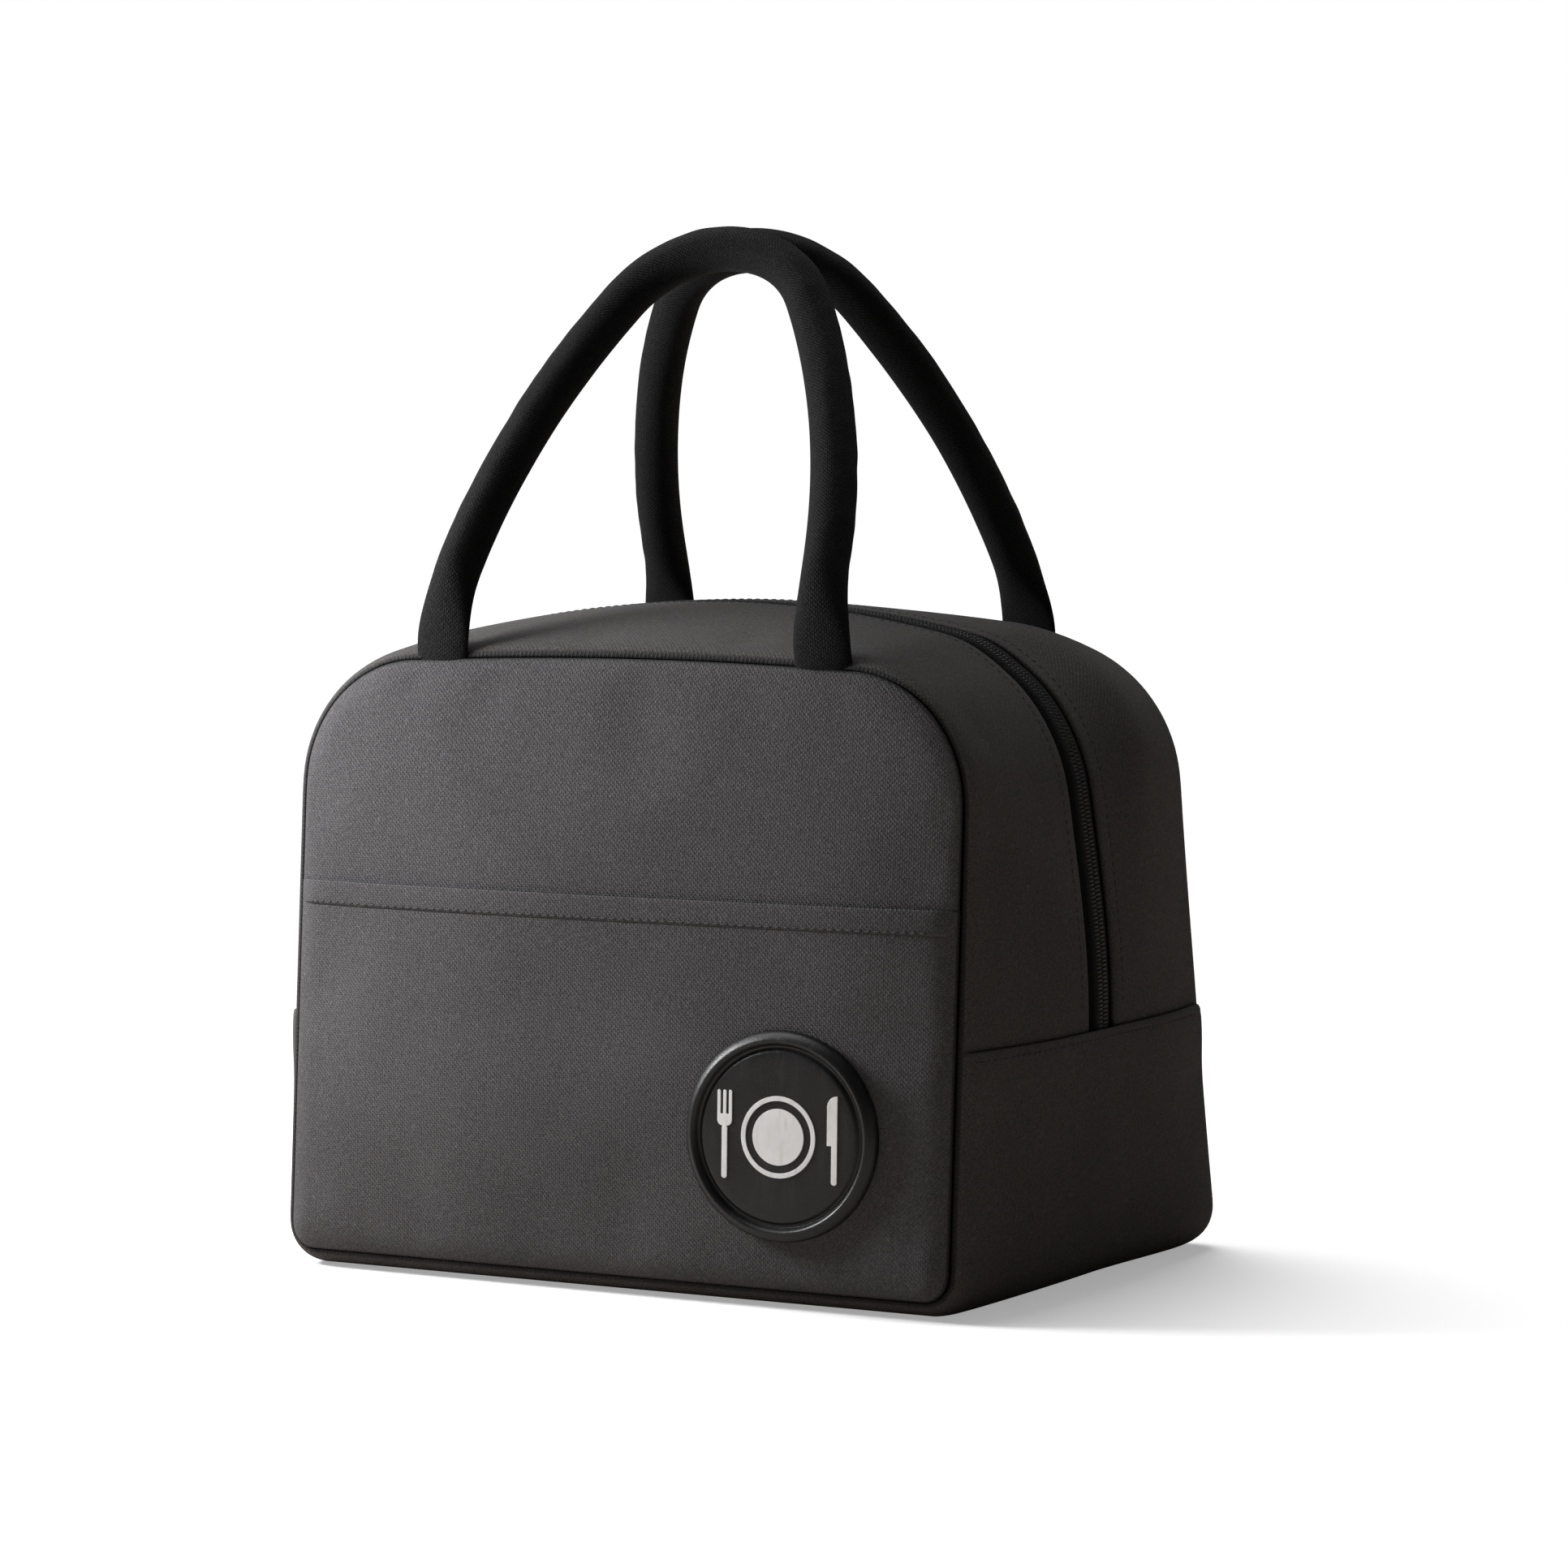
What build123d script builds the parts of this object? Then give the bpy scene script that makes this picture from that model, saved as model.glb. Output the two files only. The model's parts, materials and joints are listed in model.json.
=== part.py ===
from build123d import *
import math
import os

# A soft insulated lunch bag. Millimetres, +Z up, -Y towards the pocket side.
# The origin is the centre of the base, on the surface that the bag stands on.

os.makedirs("parts", exist_ok=True)

# Body: two D-shaped panels joined by a gusset that bulges at mid depth
PANEL_WIDTH = 220.0
PANEL_HEIGHT = 183.0
PANEL_CORNER_RADIUS = 40.0
FOOT_RADIUS = 14.0
BASE_DEPTH = 162.0
TOP_DEPTH = 138.0
SIDE_BULGE = 8.0
CREST_RISE = 13.0
FOLD_HEIGHT = 88.0

# Wall, counted inwards from the outer face
SKIN = 1.2
FOAM = 4.0
LINING = 0.6
BINDING = 1.0
BINDING_WIDTH = 10.0

# Running gap between pieces that move apart
GAP = 0.3

# Zipper
ZIP_OPENING = 18.0
TAPE = 0.5
COIL_WIDTH = 6.6
COIL_PROUD = 0.6
SLIDER_WIDTH = 8.0
SLIDER_LENGTH = 12.0
SLIDER_THICKNESS = 1.4
SLIDER_LIFT = 5.0
BRIDGE_HALF_LENGTH = 4.2
BRIDGE_HEIGHT = 3.2
BRIDGE_WIDTH = 2.4
BRIDGE_BORE_RADIUS = 1.1
PIN_RADIUS = 0.8
PIN_STAND_OFF = 1.5
ARM_LENGTH = 6.5
ARM_WIDTH = 1.4
LOOP_WIDTH = 7.0
LOOP_THICKNESS = 1.2
GRIP_LENGTH = 28.0
GRIP_WIDTH = 8.0
GRIP_THICKNESS = 2.2

# Pocket on the front panel
POCKET_HEIGHT = 112.0
POCKET_THICKNESS = 1.2
HEM_WIDTH = 7.0
HEM_THICKNESS = 0.8

# Badge on the pocket
BADGE_X = 59.0
BADGE_HEIGHT = 50.0
BADGE_RADIUS = 30.0
BADGE_THICKNESS = 3.6
BADGE_EDGE_RADIUS = 1.4
GROOVE_INSET = 3.0
GROOVE_WIDTH = 1.2
GROOVE_DEPTH = 0.4
EMBLEM_THICKNESS = 0.4
PLATE_RADIUS = 12.0
PLATE_WELL_RADIUS = 8.0
PLATE_RIM = 1.6
CUTLERY_X = 18.0
CUTLERY_HEIGHT = 27.0

# Handles: padded tubes, leaning together until they almost touch
HANDLE_DIAMETER = 13.5
HANDLE_CORE_DIAMETER = 10.5
HANDLE_HALF_SPAN = 62.0
HANDLE_TOP_RADIUS = 36.0
HANDLE_APEX_HEIGHT = 301.0
HANDLE_APEX_GAP = 0.9
HANDLE_PIVOT_OUT = 3.0
HANDLE_PIVOT_UP = 5.5
HANDLE_FOOT_START = 2.0
HANDLE_FOOT_LENGTH = 25.0
HANDLE_FOOT_WIDTH = 18.0
HANDLE_FOOT_THICKNESS = 4.0
ANCHOR_RISE = 2.4
ANCHOR_PROUD = 0.5

# Worked out from the values above
LEAN = math.atan((BASE_DEPTH - TOP_DEPTH) / 2 / PANEL_HEIGHT)
CREST_HEIGHT = PANEL_HEIGHT + CREST_RISE
MID_HALF_WIDTH = PANEL_WIDTH / 2 + SIDE_BULGE
WALL = SKIN + FOAM + LINING
PIVOT_Y = TOP_DEPTH / 2 + HANDLE_PIVOT_OUT
PIVOT_Z = PANEL_HEIGHT + HANDLE_PIVOT_UP
APEX_Y = (HANDLE_DIAMETER + HANDLE_APEX_GAP) / 2
HANDLE_LEAN = math.atan2(PIVOT_Y - APEX_Y, HANDLE_APEX_HEIGHT - PIVOT_Z)
HANDLE_RISE = math.hypot(PIVOT_Y - APEX_Y, HANDLE_APEX_HEIGHT - PIVOT_Z)
SLIDER_FACE_X = -(MID_HALF_WIDTH + COIL_PROUD + GAP)
SLIDER_OUTER_X = SLIDER_FACE_X - SLIDER_THICKNESS
SLIDER_Z = FOLD_HEIGHT + SLIDER_LIFT + SLIDER_LENGTH / 2
PIN_X = SLIDER_OUTER_X - PIN_STAND_OFF
FAR = 400.0


def save(name, solid):
    export_step(solid, f"parts/{name}.step")


def save_pair(name, front_solid):
    """The front piece, and its mirror image at the back."""
    save(f"front_{name}", front_solid)
    save(f"rear_{name}", mirror(front_solid, Plane.XZ))


def slab(x0, x1, y0, y1, z0, z1):
    """A block between two corners."""
    centre = Location(((x0 + x1) / 2, (y0 + y1) / 2, (z0 + z1) / 2))
    return centre * Box(x1 - x0, y1 - y0, z1 - z0)


# --- Body ---------------------------------------------------------------


def panel_plane(inset=0.0):
    """The front panel's leaning plane, moved inwards; its normal points outwards."""
    across = Vector(1, 0, 0)
    up = Vector(0, math.sin(LEAN), math.cos(LEAN))
    start = Vector(0, inset / math.cos(LEAN) - BASE_DEPTH / 2, 0)
    return Plane(origin=start, x_dir=across, z_dir=across.cross(up))


def d_outline(half_width, height, corner_radius, inset):
    """A rectangle with large upper corners and small lower ones, shrunk by inset."""
    half = half_width - inset
    top = height - inset
    face = make_face(Polyline((-half, inset), (half, inset), (half, top), (-half, top), close=True))
    shoulders = face.vertices().sort_by(Axis.Y)[2:]
    face = fillet(shoulders, corner_radius - inset)
    feet = face.vertices().sort_by(Axis.Y)[:2]
    return fillet(feet, FOOT_RADIUS - inset)


def panel_outline(inset):
    return d_outline(PANEL_WIDTH / 2, PANEL_HEIGHT, PANEL_CORNER_RADIUS, inset)


def front_half(inset):
    """The body from the front panel to mid depth, shrunk by inset on every outer face."""
    end = panel_plane(inset) * panel_outline(inset)
    middle_radius = PANEL_CORNER_RADIUS + SIDE_BULGE
    middle = d_outline(MID_HALF_WIDTH, CREST_HEIGHT, middle_radius, inset)
    middle = Plane(origin=(0, 0, 0), x_dir=(1, 0, 0), z_dir=(0, -1, 0)) * middle
    return Solid.make_loft([end.face().outer_wire(), middle.face().outer_wire()], ruled=True)


def ahead_of(solid, inset):
    return split(solid, bisect_by=panel_plane(inset), keep=Keep.TOP)


def behind(solid, inset):
    return split(solid, bisect_by=panel_plane(inset), keep=Keep.BOTTOM)


def lower(solid):
    return solid & slab(-FAR, FAR, -FAR, FAR, -FAR, FOLD_HEIGHT)


def upper(solid):
    return solid & slab(-FAR, FAR, -FAR, FAR, FOLD_HEIGHT + GAP, FAR)


def depth_band(solid, inner, outer):
    """What lies between two distances in front of the middle."""
    return solid & slab(-FAR, FAR, -outer, -inner, -FAR, FAR)


def panel_layer(outer, inner):
    return ahead_of(front_half(outer), inner)


def gusset_layer(outer, inner):
    """The ring that joins the panels, from the front panel's back to mid depth."""
    return behind(front_half(outer), inner) - front_half(inner)


LAYERS = {
    "outer": (0.0, SKIN),
    "foam": (SKIN, SKIN + FOAM),
    "lining": (SKIN + FOAM, WALL),
}


def make_layers():
    for layer, (outer, inner) in LAYERS.items():
        panel = panel_layer(outer, inner)
        ring = gusset_layer(outer, inner)
        save_pair(f"panel_lower_{layer}", lower(panel))
        save_pair(f"panel_upper_{layer}", upper(panel))
        save_pair(f"gusset_{layer}", depth_band(upper(ring), ZIP_OPENING / 2, FAR))
        base = lower(ring)
        save(f"base_gusset_{layer}", base + mirror(base, Plane.XZ))


def make_seam_bindings():
    """The tape inside the bag that wraps each panel's seam allowance."""
    ring = behind(front_half(WALL), WALL) - front_half(WALL + BINDING)
    ring = ahead_of(ring, WALL + BINDING_WIDTH)
    save_pair("binding_lower", lower(ring))
    save_pair("binding_upper", upper(ring))


# --- Pocket and badge ---------------------------------------------------


def on_panel(lift):
    """The front panel's plane, lifted off the fabric."""
    return panel_plane(-lift)


def pocket_sheet(bottom, top, lift, thickness):
    inset = 1.0
    strip = Location((0, (bottom + top) / 2)) * Rectangle(PANEL_WIDTH, top - bottom)
    outline = panel_outline(inset) & strip
    return extrude(on_panel(lift) * outline, thickness)


def make_pocket():
    sheet = pocket_sheet(0, POCKET_HEIGHT, 0, POCKET_THICKNESS)
    save("pocket_lower", lower(sheet))
    save("pocket_upper", upper(sheet))
    hem = pocket_sheet(POCKET_HEIGHT - HEM_WIDTH, POCKET_HEIGHT, POCKET_THICKNESS, HEM_THICKNESS)
    save("pocket_hem", hem)


def badge_plane(lift):
    plane = on_panel(POCKET_THICKNESS + lift)
    return plane * Location((BADGE_X, BADGE_HEIGHT, 0))


def make_badge():
    """A moulded disc with a rounded edge and a ring groove in its face."""
    disc = Location((0, 0, BADGE_THICKNESS / 2)) * Cylinder(BADGE_RADIUS, BADGE_THICKNESS)
    rim = disc.edges().filter_by(GeomType.CIRCLE).sort_by(Axis.Z)[-1]
    disc = fillet(rim, BADGE_EDGE_RADIUS)
    groove = Cylinder(BADGE_RADIUS - GROOVE_INSET, 2 * GROOVE_DEPTH)
    groove -= Cylinder(BADGE_RADIUS - GROOVE_INSET - GROOVE_WIDTH, 2 * GROOVE_DEPTH)
    disc -= Location((0, 0, BADGE_THICKNESS)) * groove
    save("badge_disc", badge_plane(0) * disc)


def fork():
    """Three tines on a palm and a stem, with the fork's middle at the origin."""
    top = CUTLERY_HEIGHT / 2
    tine_length = CUTLERY_HEIGHT * 0.3
    palm_height = CUTLERY_HEIGHT * 0.12
    palm_y = top - tine_length - palm_height / 2
    stem_length = CUTLERY_HEIGHT - tine_length - palm_height
    outline = Location((0, palm_y)) * Rectangle(5.0, palm_height)
    outline += Location((0, stem_length / 2 - top)) * Rectangle(1.8, stem_length)
    for offset in (-2, 0, 2):
        outline += Location((offset, top - tine_length / 2)) * Rectangle(1.0, tine_length)
    return outline


def knife():
    """A blade with one curved edge on a narrow stem."""
    top = CUTLERY_HEIGHT / 2
    back = 1.6
    edge_end = (-back, top * 0.35)
    tip = (back, top)
    shoulder = (back, -top * 0.1)
    heel = (-back, -top * 0.1)
    curve = ThreePointArc(edge_end, (-back * 0.4, top * 0.78), tip)
    blade = make_face(curve + Polyline(tip, shoulder, heel, edge_end))
    stem_length = top * 0.9
    return blade + Location((0, stem_length / 2 - top)) * Rectangle(1.8, stem_length)


def make_emblem():
    """A plate between a fork and a knife."""
    sketch = Circle(PLATE_RADIUS) - Circle(PLATE_RADIUS - PLATE_RIM) + Circle(PLATE_WELL_RADIUS)
    sketch += Location((-CUTLERY_X, 0)) * fork()
    sketch += Location((CUTLERY_X, 0)) * knife()
    save("badge_emblem", extrude(badge_plane(BADGE_THICKNESS) * sketch, EMBLEM_THICKNESS))


# --- Zipper -------------------------------------------------------------


def zipper_ring(outer, inner, half_width):
    ring = front_half(outer) - front_half(inner)
    return depth_band(upper(ring), GAP / 2, half_width)


def make_zipper():
    save_pair("zip_tape", zipper_ring(SKIN - TAPE, SKIN, ZIP_OPENING / 2))
    save_pair("zip_coil", zipper_ring(-COIL_PROUD, SKIN - TAPE, COIL_WIDTH / 2))


def make_slider():
    """A plate over the coil, with a bridge for the pull."""
    half = SLIDER_WIDTH / 2
    top = SLIDER_LENGTH / 2
    outline = Polyline((1 - half, -top), (half - 1, -top), (half, top), (-half, top), close=True)
    face = fillet(make_face(outline).vertices(), 0.8)
    out_of_side = Plane(origin=(SLIDER_FACE_X, 0, SLIDER_Z), x_dir=(0, -1, 0), z_dir=(-1, 0, 0))
    plate = extrude(out_of_side * face, SLIDER_THICKNESS)
    bridge = slab(
        SLIDER_OUTER_X - BRIDGE_HEIGHT,
        SLIDER_OUTER_X,
        -BRIDGE_WIDTH / 2,
        BRIDGE_WIDTH / 2,
        SLIDER_Z - BRIDGE_HALF_LENGTH,
        SLIDER_Z + BRIDGE_HALF_LENGTH,
    )
    bridge = fillet(bridge.edges().filter_by(Axis.Y).sort_by(Axis.X)[:2], 1.2)
    save("slider_body", plate + bridge - across_slider(BRIDGE_BORE_RADIUS, SLIDER_WIDTH))


def across_slider(radius, length):
    """A cylinder along the pull's pivot."""
    return Location((PIN_X, 0, SLIDER_Z), (90, 0, 0)) * Cylinder(radius, length)


def make_pull():
    """A loop through the bridge, and the grip that hangs from it."""
    half = LOOP_WIDTH / 2
    near = PIN_X + LOOP_THICKNESS / 2
    far = PIN_X - LOOP_THICKNESS / 2
    loop_end = SLIDER_Z - ARM_LENGTH
    grip_top = loop_end - ARM_WIDTH
    loop = across_slider(PIN_RADIUS, LOOP_WIDTH)
    loop += slab(far, near, -half, half, grip_top, loop_end)
    loop += slab(far, near, half - ARM_WIDTH, half, loop_end, SLIDER_Z)
    loop += slab(far, near, -half, ARM_WIDTH - half, loop_end, SLIDER_Z)
    save("pull_loop", loop)
    middle = Location((PIN_X, 0, grip_top - GRIP_LENGTH / 2))
    grip = middle * Box(GRIP_THICKNESS, GRIP_WIDTH, GRIP_LENGTH)
    save("pull_grip", fillet(grip.edges().filter_by(Axis.X), 2.5))


# --- Handles ------------------------------------------------------------


def handle_plane():
    """The leaning plane of the front handle, from its pivot line up to its apex."""
    across = Vector(1, 0, 0)
    up = Vector(0, math.sin(HANDLE_LEAN), math.cos(HANDLE_LEAN))
    return Plane(origin=(0, -PIVOT_Y, PIVOT_Z), x_dir=across, z_dir=across.cross(up))


def leg_radius():
    """The radius of the legs' arcs, tangent to the top arc and upright at the pivot line."""
    top_centre = HANDLE_RISE - HANDLE_TOP_RADIUS
    spare = HANDLE_HALF_SPAN**2 + top_centre**2 - HANDLE_TOP_RADIUS**2
    return spare / 2 / (HANDLE_HALF_SPAN - HANDLE_TOP_RADIUS)


def leg_point(along, side):
    """A point on a leg's centre line, at a distance along it from the pivot line."""
    radius = leg_radius()
    turn = along / radius
    x = HANDLE_HALF_SPAN - radius + radius * math.cos(turn)
    return Vector(side * x, radius * math.sin(turn))


def leg_section_plane(along, side):
    """The plane across a leg at a distance along it."""
    turn = along / leg_radius()
    plane = handle_plane()
    centre = leg_point(along, side)
    ahead = centre + Vector(-side * math.sin(turn), math.cos(turn))
    start = plane.from_local_coords(centre)
    return Plane(origin=start, x_dir=plane.z_dir, z_dir=plane.from_local_coords(ahead) - start)


def arch_path():
    """Two leg arcs joined by the top arc, between the feet."""
    radius = leg_radius()
    top_centre = Vector(0, HANDLE_RISE - HANDLE_TOP_RADIUS)
    leg_centre = Vector(HANDLE_HALF_SPAN - radius, 0)
    outwards = (top_centre - leg_centre).normalized()
    joint = top_centre + outwards * HANDLE_TOP_RADIUS
    leg_turn = math.atan2(outwards.Y, outwards.X)
    right = ThreePointArc(
        leg_point(HANDLE_FOOT_LENGTH, 1),
        leg_point((HANDLE_FOOT_LENGTH + radius * leg_turn) / 2, 1),
        joint,
    )
    top = ThreePointArc(joint, Vector(0, HANDLE_RISE), Vector(-joint.X, joint.Y))
    left = mirror(right, Plane.YZ)
    return handle_plane() * (right + top + left)


def handle_tube(diameter):
    start = leg_section_plane(HANDLE_FOOT_LENGTH, 1) * Circle(diameter / 2)
    return sweep(start, path=arch_path())


def handle_foot(side):
    """The end of the tube, flattened where it is sewn in."""
    flattened = Ellipse(HANDLE_FOOT_THICKNESS / 2, HANDLE_FOOT_WIDTH / 2)
    flat = leg_section_plane(HANDLE_FOOT_START, side) * flattened
    round_end = leg_section_plane(HANDLE_FOOT_LENGTH, side) * Circle(HANDLE_DIAMETER / 2)
    return loft([flat, round_end])


def anchor(side):
    """The stub of handle fabric that stands out of the top seam."""
    x = side * HANDLE_HALF_SPAN
    half = HANDLE_FOOT_WIDTH / 2
    front_y = -TOP_DEPTH / 2 - ANCHOR_PROUD
    top = PANEL_HEIGHT + ANCHOR_RISE
    stub = slab(x - half, x + half, front_y, front_y + HANDLE_FOOT_THICKNESS, PANEL_HEIGHT - 2, top)
    return stub - front_half(0)


def make_handles():
    core = handle_tube(HANDLE_CORE_DIAMETER)
    save_pair("handle_core", core)
    save_pair("handle_sleeve", handle_tube(HANDLE_DIAMETER) - core)
    for name, side in (("left", -1), ("right", 1)):
        save_pair(f"handle_foot_{name}", handle_foot(side))
        save_pair(f"handle_anchor_{name}", anchor(side))


make_layers()
make_seam_bindings()
make_pocket()
make_badge()
make_emblem()
make_zipper()
make_slider()
make_pull()
make_handles()
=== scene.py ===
# %% [markdown]
# # A soft insulated lunch bag
# The bag is sewn from cloth that is laminated to foam. Two D-shaped panels stand at the front and the
# back, and one gusset strip runs round between them, over a zipper at the top. Everything here is
# built round a plain frame that already holds the sizes, the joints and the hard parts.

# %% Load the frame
import bmesh
import bpy
import json
import math
from mathutils import Matrix, Vector, noise
from mathutils.bvhtree import BVHTree
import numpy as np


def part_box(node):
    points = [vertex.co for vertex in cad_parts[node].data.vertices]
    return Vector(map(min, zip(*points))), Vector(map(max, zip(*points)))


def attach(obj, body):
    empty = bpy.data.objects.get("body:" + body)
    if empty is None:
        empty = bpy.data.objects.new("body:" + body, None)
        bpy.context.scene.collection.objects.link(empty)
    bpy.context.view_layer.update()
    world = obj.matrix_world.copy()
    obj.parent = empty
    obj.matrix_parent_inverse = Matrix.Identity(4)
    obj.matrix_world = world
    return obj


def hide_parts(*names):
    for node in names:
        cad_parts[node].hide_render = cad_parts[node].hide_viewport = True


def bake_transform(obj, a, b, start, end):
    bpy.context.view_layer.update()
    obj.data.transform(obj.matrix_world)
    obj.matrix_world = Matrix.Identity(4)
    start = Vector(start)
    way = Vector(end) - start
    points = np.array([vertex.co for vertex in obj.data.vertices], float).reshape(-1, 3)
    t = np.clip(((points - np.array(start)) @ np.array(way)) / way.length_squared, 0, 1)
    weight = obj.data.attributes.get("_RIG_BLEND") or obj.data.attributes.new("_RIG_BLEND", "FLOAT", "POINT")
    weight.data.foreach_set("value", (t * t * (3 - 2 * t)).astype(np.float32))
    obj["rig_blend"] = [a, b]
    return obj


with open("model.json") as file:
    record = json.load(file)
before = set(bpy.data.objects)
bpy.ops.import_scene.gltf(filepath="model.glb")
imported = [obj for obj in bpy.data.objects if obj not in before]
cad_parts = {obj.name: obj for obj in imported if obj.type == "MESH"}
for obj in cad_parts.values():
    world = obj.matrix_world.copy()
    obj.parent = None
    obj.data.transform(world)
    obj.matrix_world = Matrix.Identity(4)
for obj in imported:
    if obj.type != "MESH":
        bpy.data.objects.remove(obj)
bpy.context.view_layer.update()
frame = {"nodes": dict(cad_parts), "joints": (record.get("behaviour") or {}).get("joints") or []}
MM = 0.001

# %% [markdown]
# ## Camera
# The bag is seen from its front right, a little from above, through a long lens. A long lens keeps
# the edges nearly parallel, which suits a product picture. The camera is aimed at a given point
# near the middle of the bag instead of with a constraint, so nothing in the scene depends on it.

# %% Place the camera
YAW = math.radians(28.6)
PITCH = math.radians(4.0)
LENS_MM = 121.0
CAMERA_DISTANCE = 1584 * MM
AIM_RIGHT = 12.7 * MM
AIM_UP = 141.75 * MM


def place_camera():
    back = Vector((
        math.sin(YAW) * math.cos(PITCH),
        -math.cos(YAW) * math.cos(PITCH),
        math.sin(PITCH),
    ))
    right = Vector((math.cos(YAW), math.sin(YAW), 0))
    up = back.cross(right)
    data = bpy.data.cameras.new("product_camera")
    data.lens = LENS_MM
    data.clip_start = 0.05
    camera = bpy.data.objects.new("product_camera", data)
    camera.location = right * AIM_RIGHT + up * AIM_UP + back * CAMERA_DISTANCE
    camera.rotation_euler = back.to_track_quat("Z", "Y").to_euler()
    bpy.context.scene.collection.objects.link(camera)
    bpy.context.scene.camera = camera
    return camera


print("camera at", [round(c, 3) for c in place_camera().location])

# %% [markdown]
# ## Sizes
# The frame is asked for every size that it knows. The rest are the tailor's values: how far a seam
# dips, how wide a folded edge is, how thick each layer of the wall is.

# %% Read the sizes from the frame
low_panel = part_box("front_panel_lower_outer")
high_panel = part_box("front_panel_upper_outer")
SKIN = 1.2 * MM
HALF_WIDTH = low_panel[1].x + 1.4 * MM
PANEL_TOP = high_panel[1].z
BASE_HALF_DEPTH = -low_panel[0].y
TOP_HALF_DEPTH = SKIN - high_panel[1].y
SIDE_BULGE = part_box("base_gusset_outer")[1].x - low_panel[1].x
CROWN_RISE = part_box("front_zip_tape")[1].z - PANEL_TOP
ZIP_HALF = -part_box("front_gusset_outer")[1].y
POCKET_RISE = 2.8 * MM
POCKET_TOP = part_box("pocket_hem")[1].z + POCKET_RISE
HEM_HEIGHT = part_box("pocket_hem")[1].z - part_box("pocket_hem")[0].z
print("bulge and crown, mm:", round(SIDE_BULGE / MM, 1), round(CROWN_RISE / MM, 1))
panel_sizes = [round(size / MM) for size in (2 * HALF_WIDTH, PANEL_TOP, POCKET_TOP)]
print("panel width, panel top and pocket top, mm:", *panel_sizes)

# %% Name the tailor's values
CORNER_RADIUS = 40 * MM
FOOT_RADIUS = 10 * MM
PANEL_BOTTOM = 3.2 * MM
SEAM_DIP = 2.4 * MM
PANEL_ROLL = 10.0 * MM
GUSSET_ROLL = 5.0 * MM
PANEL_CROWN = 4.0 * MM
TOP_BOW = 2.0 * MM
SIDE_SEAM = 75 * MM
FOAM = 4.0 * MM
LINING = 0.6 * MM
TAPE = 0.5 * MM
HEM = 0.4 * MM
FOOT_SPREAD = Vector((6.0 * MM, 9.0 * MM))
SPREAD_TOP = 190 * MM
# How much lower the crown is over the left and the right shoulder.
CROWN_DROOP = (0.42, 0.46)
# How far the upper right side leans in along the zipper. The left one is kept full by the slider.
SIDE_LEAN = 11.0 * MM
# The cloth bends over this stretch when the mouth opens.
BEND_START = Vector((0, 0, 78 * MM))
BEND_END = Vector((0, 0, 150 * MM))

# %% [markdown]
# ## The outline
# Every seam of the bag follows one D: a rectangle with large upper corners and small lower ones.
# These helpers answer three questions about it. How wide is the panel at a height, how far is a
# point from the seam, and which way is outwards there.

# %% Describe the D outline


def ease(value, low, high):
    """Goes smoothly from 0 at low to 1 at high."""
    share = min(max((value - low) / (high - low), 0), 1)
    return share * share * (3 - 2 * share)


def corner_radius(z):
    return CORNER_RADIUS if z > PANEL_TOP / 2 else FOOT_RADIUS


def end_distance(z):
    """From a height to the nearer end of the panel."""
    return min(PANEL_TOP - z, z - PANEL_BOTTOM)


def half_width(z, inset=0.0):
    """Half the panel's width at a height, for an outline moved inwards."""
    radius = corner_radius(z) - inset
    rise = radius - (end_distance(z) - inset)
    if rise <= 0:
        return HALF_WIDTH - inset
    return HALF_WIDTH - inset - radius + math.sqrt(max(radius**2 - rise**2, 0))


def seam_distance(x, z):
    """How far a point of the panel is from the outline."""
    radius = corner_radius(z)
    beside = HALF_WIDTH - abs(x)
    beyond = end_distance(z)
    if beside < radius and beyond < radius:
        return radius - math.hypot(radius - beside, radius - beyond)
    return min(beside, beyond)


def outwards(x, z):
    """The direction out of the outline at a point near it, as (x, z)."""
    radius = corner_radius(z)
    across = max(radius - (HALF_WIDTH - abs(x)), 0)
    along = max(radius - end_distance(z), 0)
    across = math.copysign(across, x)
    along = math.copysign(along, z - PANEL_TOP / 2)
    length = math.hypot(across, along)
    if length < 1e-9:
        return Vector((math.copysign(1, x), 0))
    return Vector((across, along)) / length


half_widths = [round(half_width(z) / MM) for z in (5 * MM, 180 * MM)]
print("half width at the foot and at the top, mm:", *half_widths)

# %% [markdown]
# ## The shell
# The bag's outer surface is first made as one closed shell, because cloth pulls on its neighbours
# across every seam. One grid becomes the front panel. Its border is extruded towards the middle in
# rings, and the half is then mirrored. Steps are closer together near the seams, where the cloth
# rolls over, and a sine does that.

# %% Shape the panel and the gusset
COLUMNS = 46
ROWS = 42
RINGS = 15


def half_depth(z):
    return BASE_HALF_DEPTH + (TOP_HALF_DEPTH - BASE_HALF_DEPTH) * z / PANEL_TOP


def roll_over(distance, width):
    """How far the surface dips at a distance from the seam: a quarter of a circle."""
    if distance >= width:
        return 0.0
    share = 1 - distance / width
    return SEAM_DIP * (1 - math.sqrt(max(1 - share * share, 0)))


def panel_crown(x, z):
    """How far the panel swells out, with a slow unevenness that is the same on each run."""
    across = 1 - (x / HALF_WIDTH) ** 2
    along = math.sin(math.pi * min(max((z - PANEL_BOTTOM) / (PANEL_TOP - PANEL_BOTTOM), 0), 1))
    swell = 0.25 * noise.noise(Vector((x, 0.3, z)) / (60 * MM))
    return PANEL_CROWN * across * along**0.7 * (1 + swell)


def top_bow(x, z):
    """The top seam bows up a little between the corners."""
    reach = HALF_WIDTH - CORNER_RADIUS
    return TOP_BOW * max(1 - (x / reach) ** 2, 0) * max(1 - (PANEL_TOP - z) / (60 * MM), 0)


def grid_height(v):
    """The height of a grid row, for v from -1 to 1."""
    low = PANEL_BOTTOM + SEAM_DIP
    high = PANEL_TOP - SEAM_DIP
    return low + (high - low) * (1 + math.sin(v * math.pi / 2)) / 2


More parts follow.
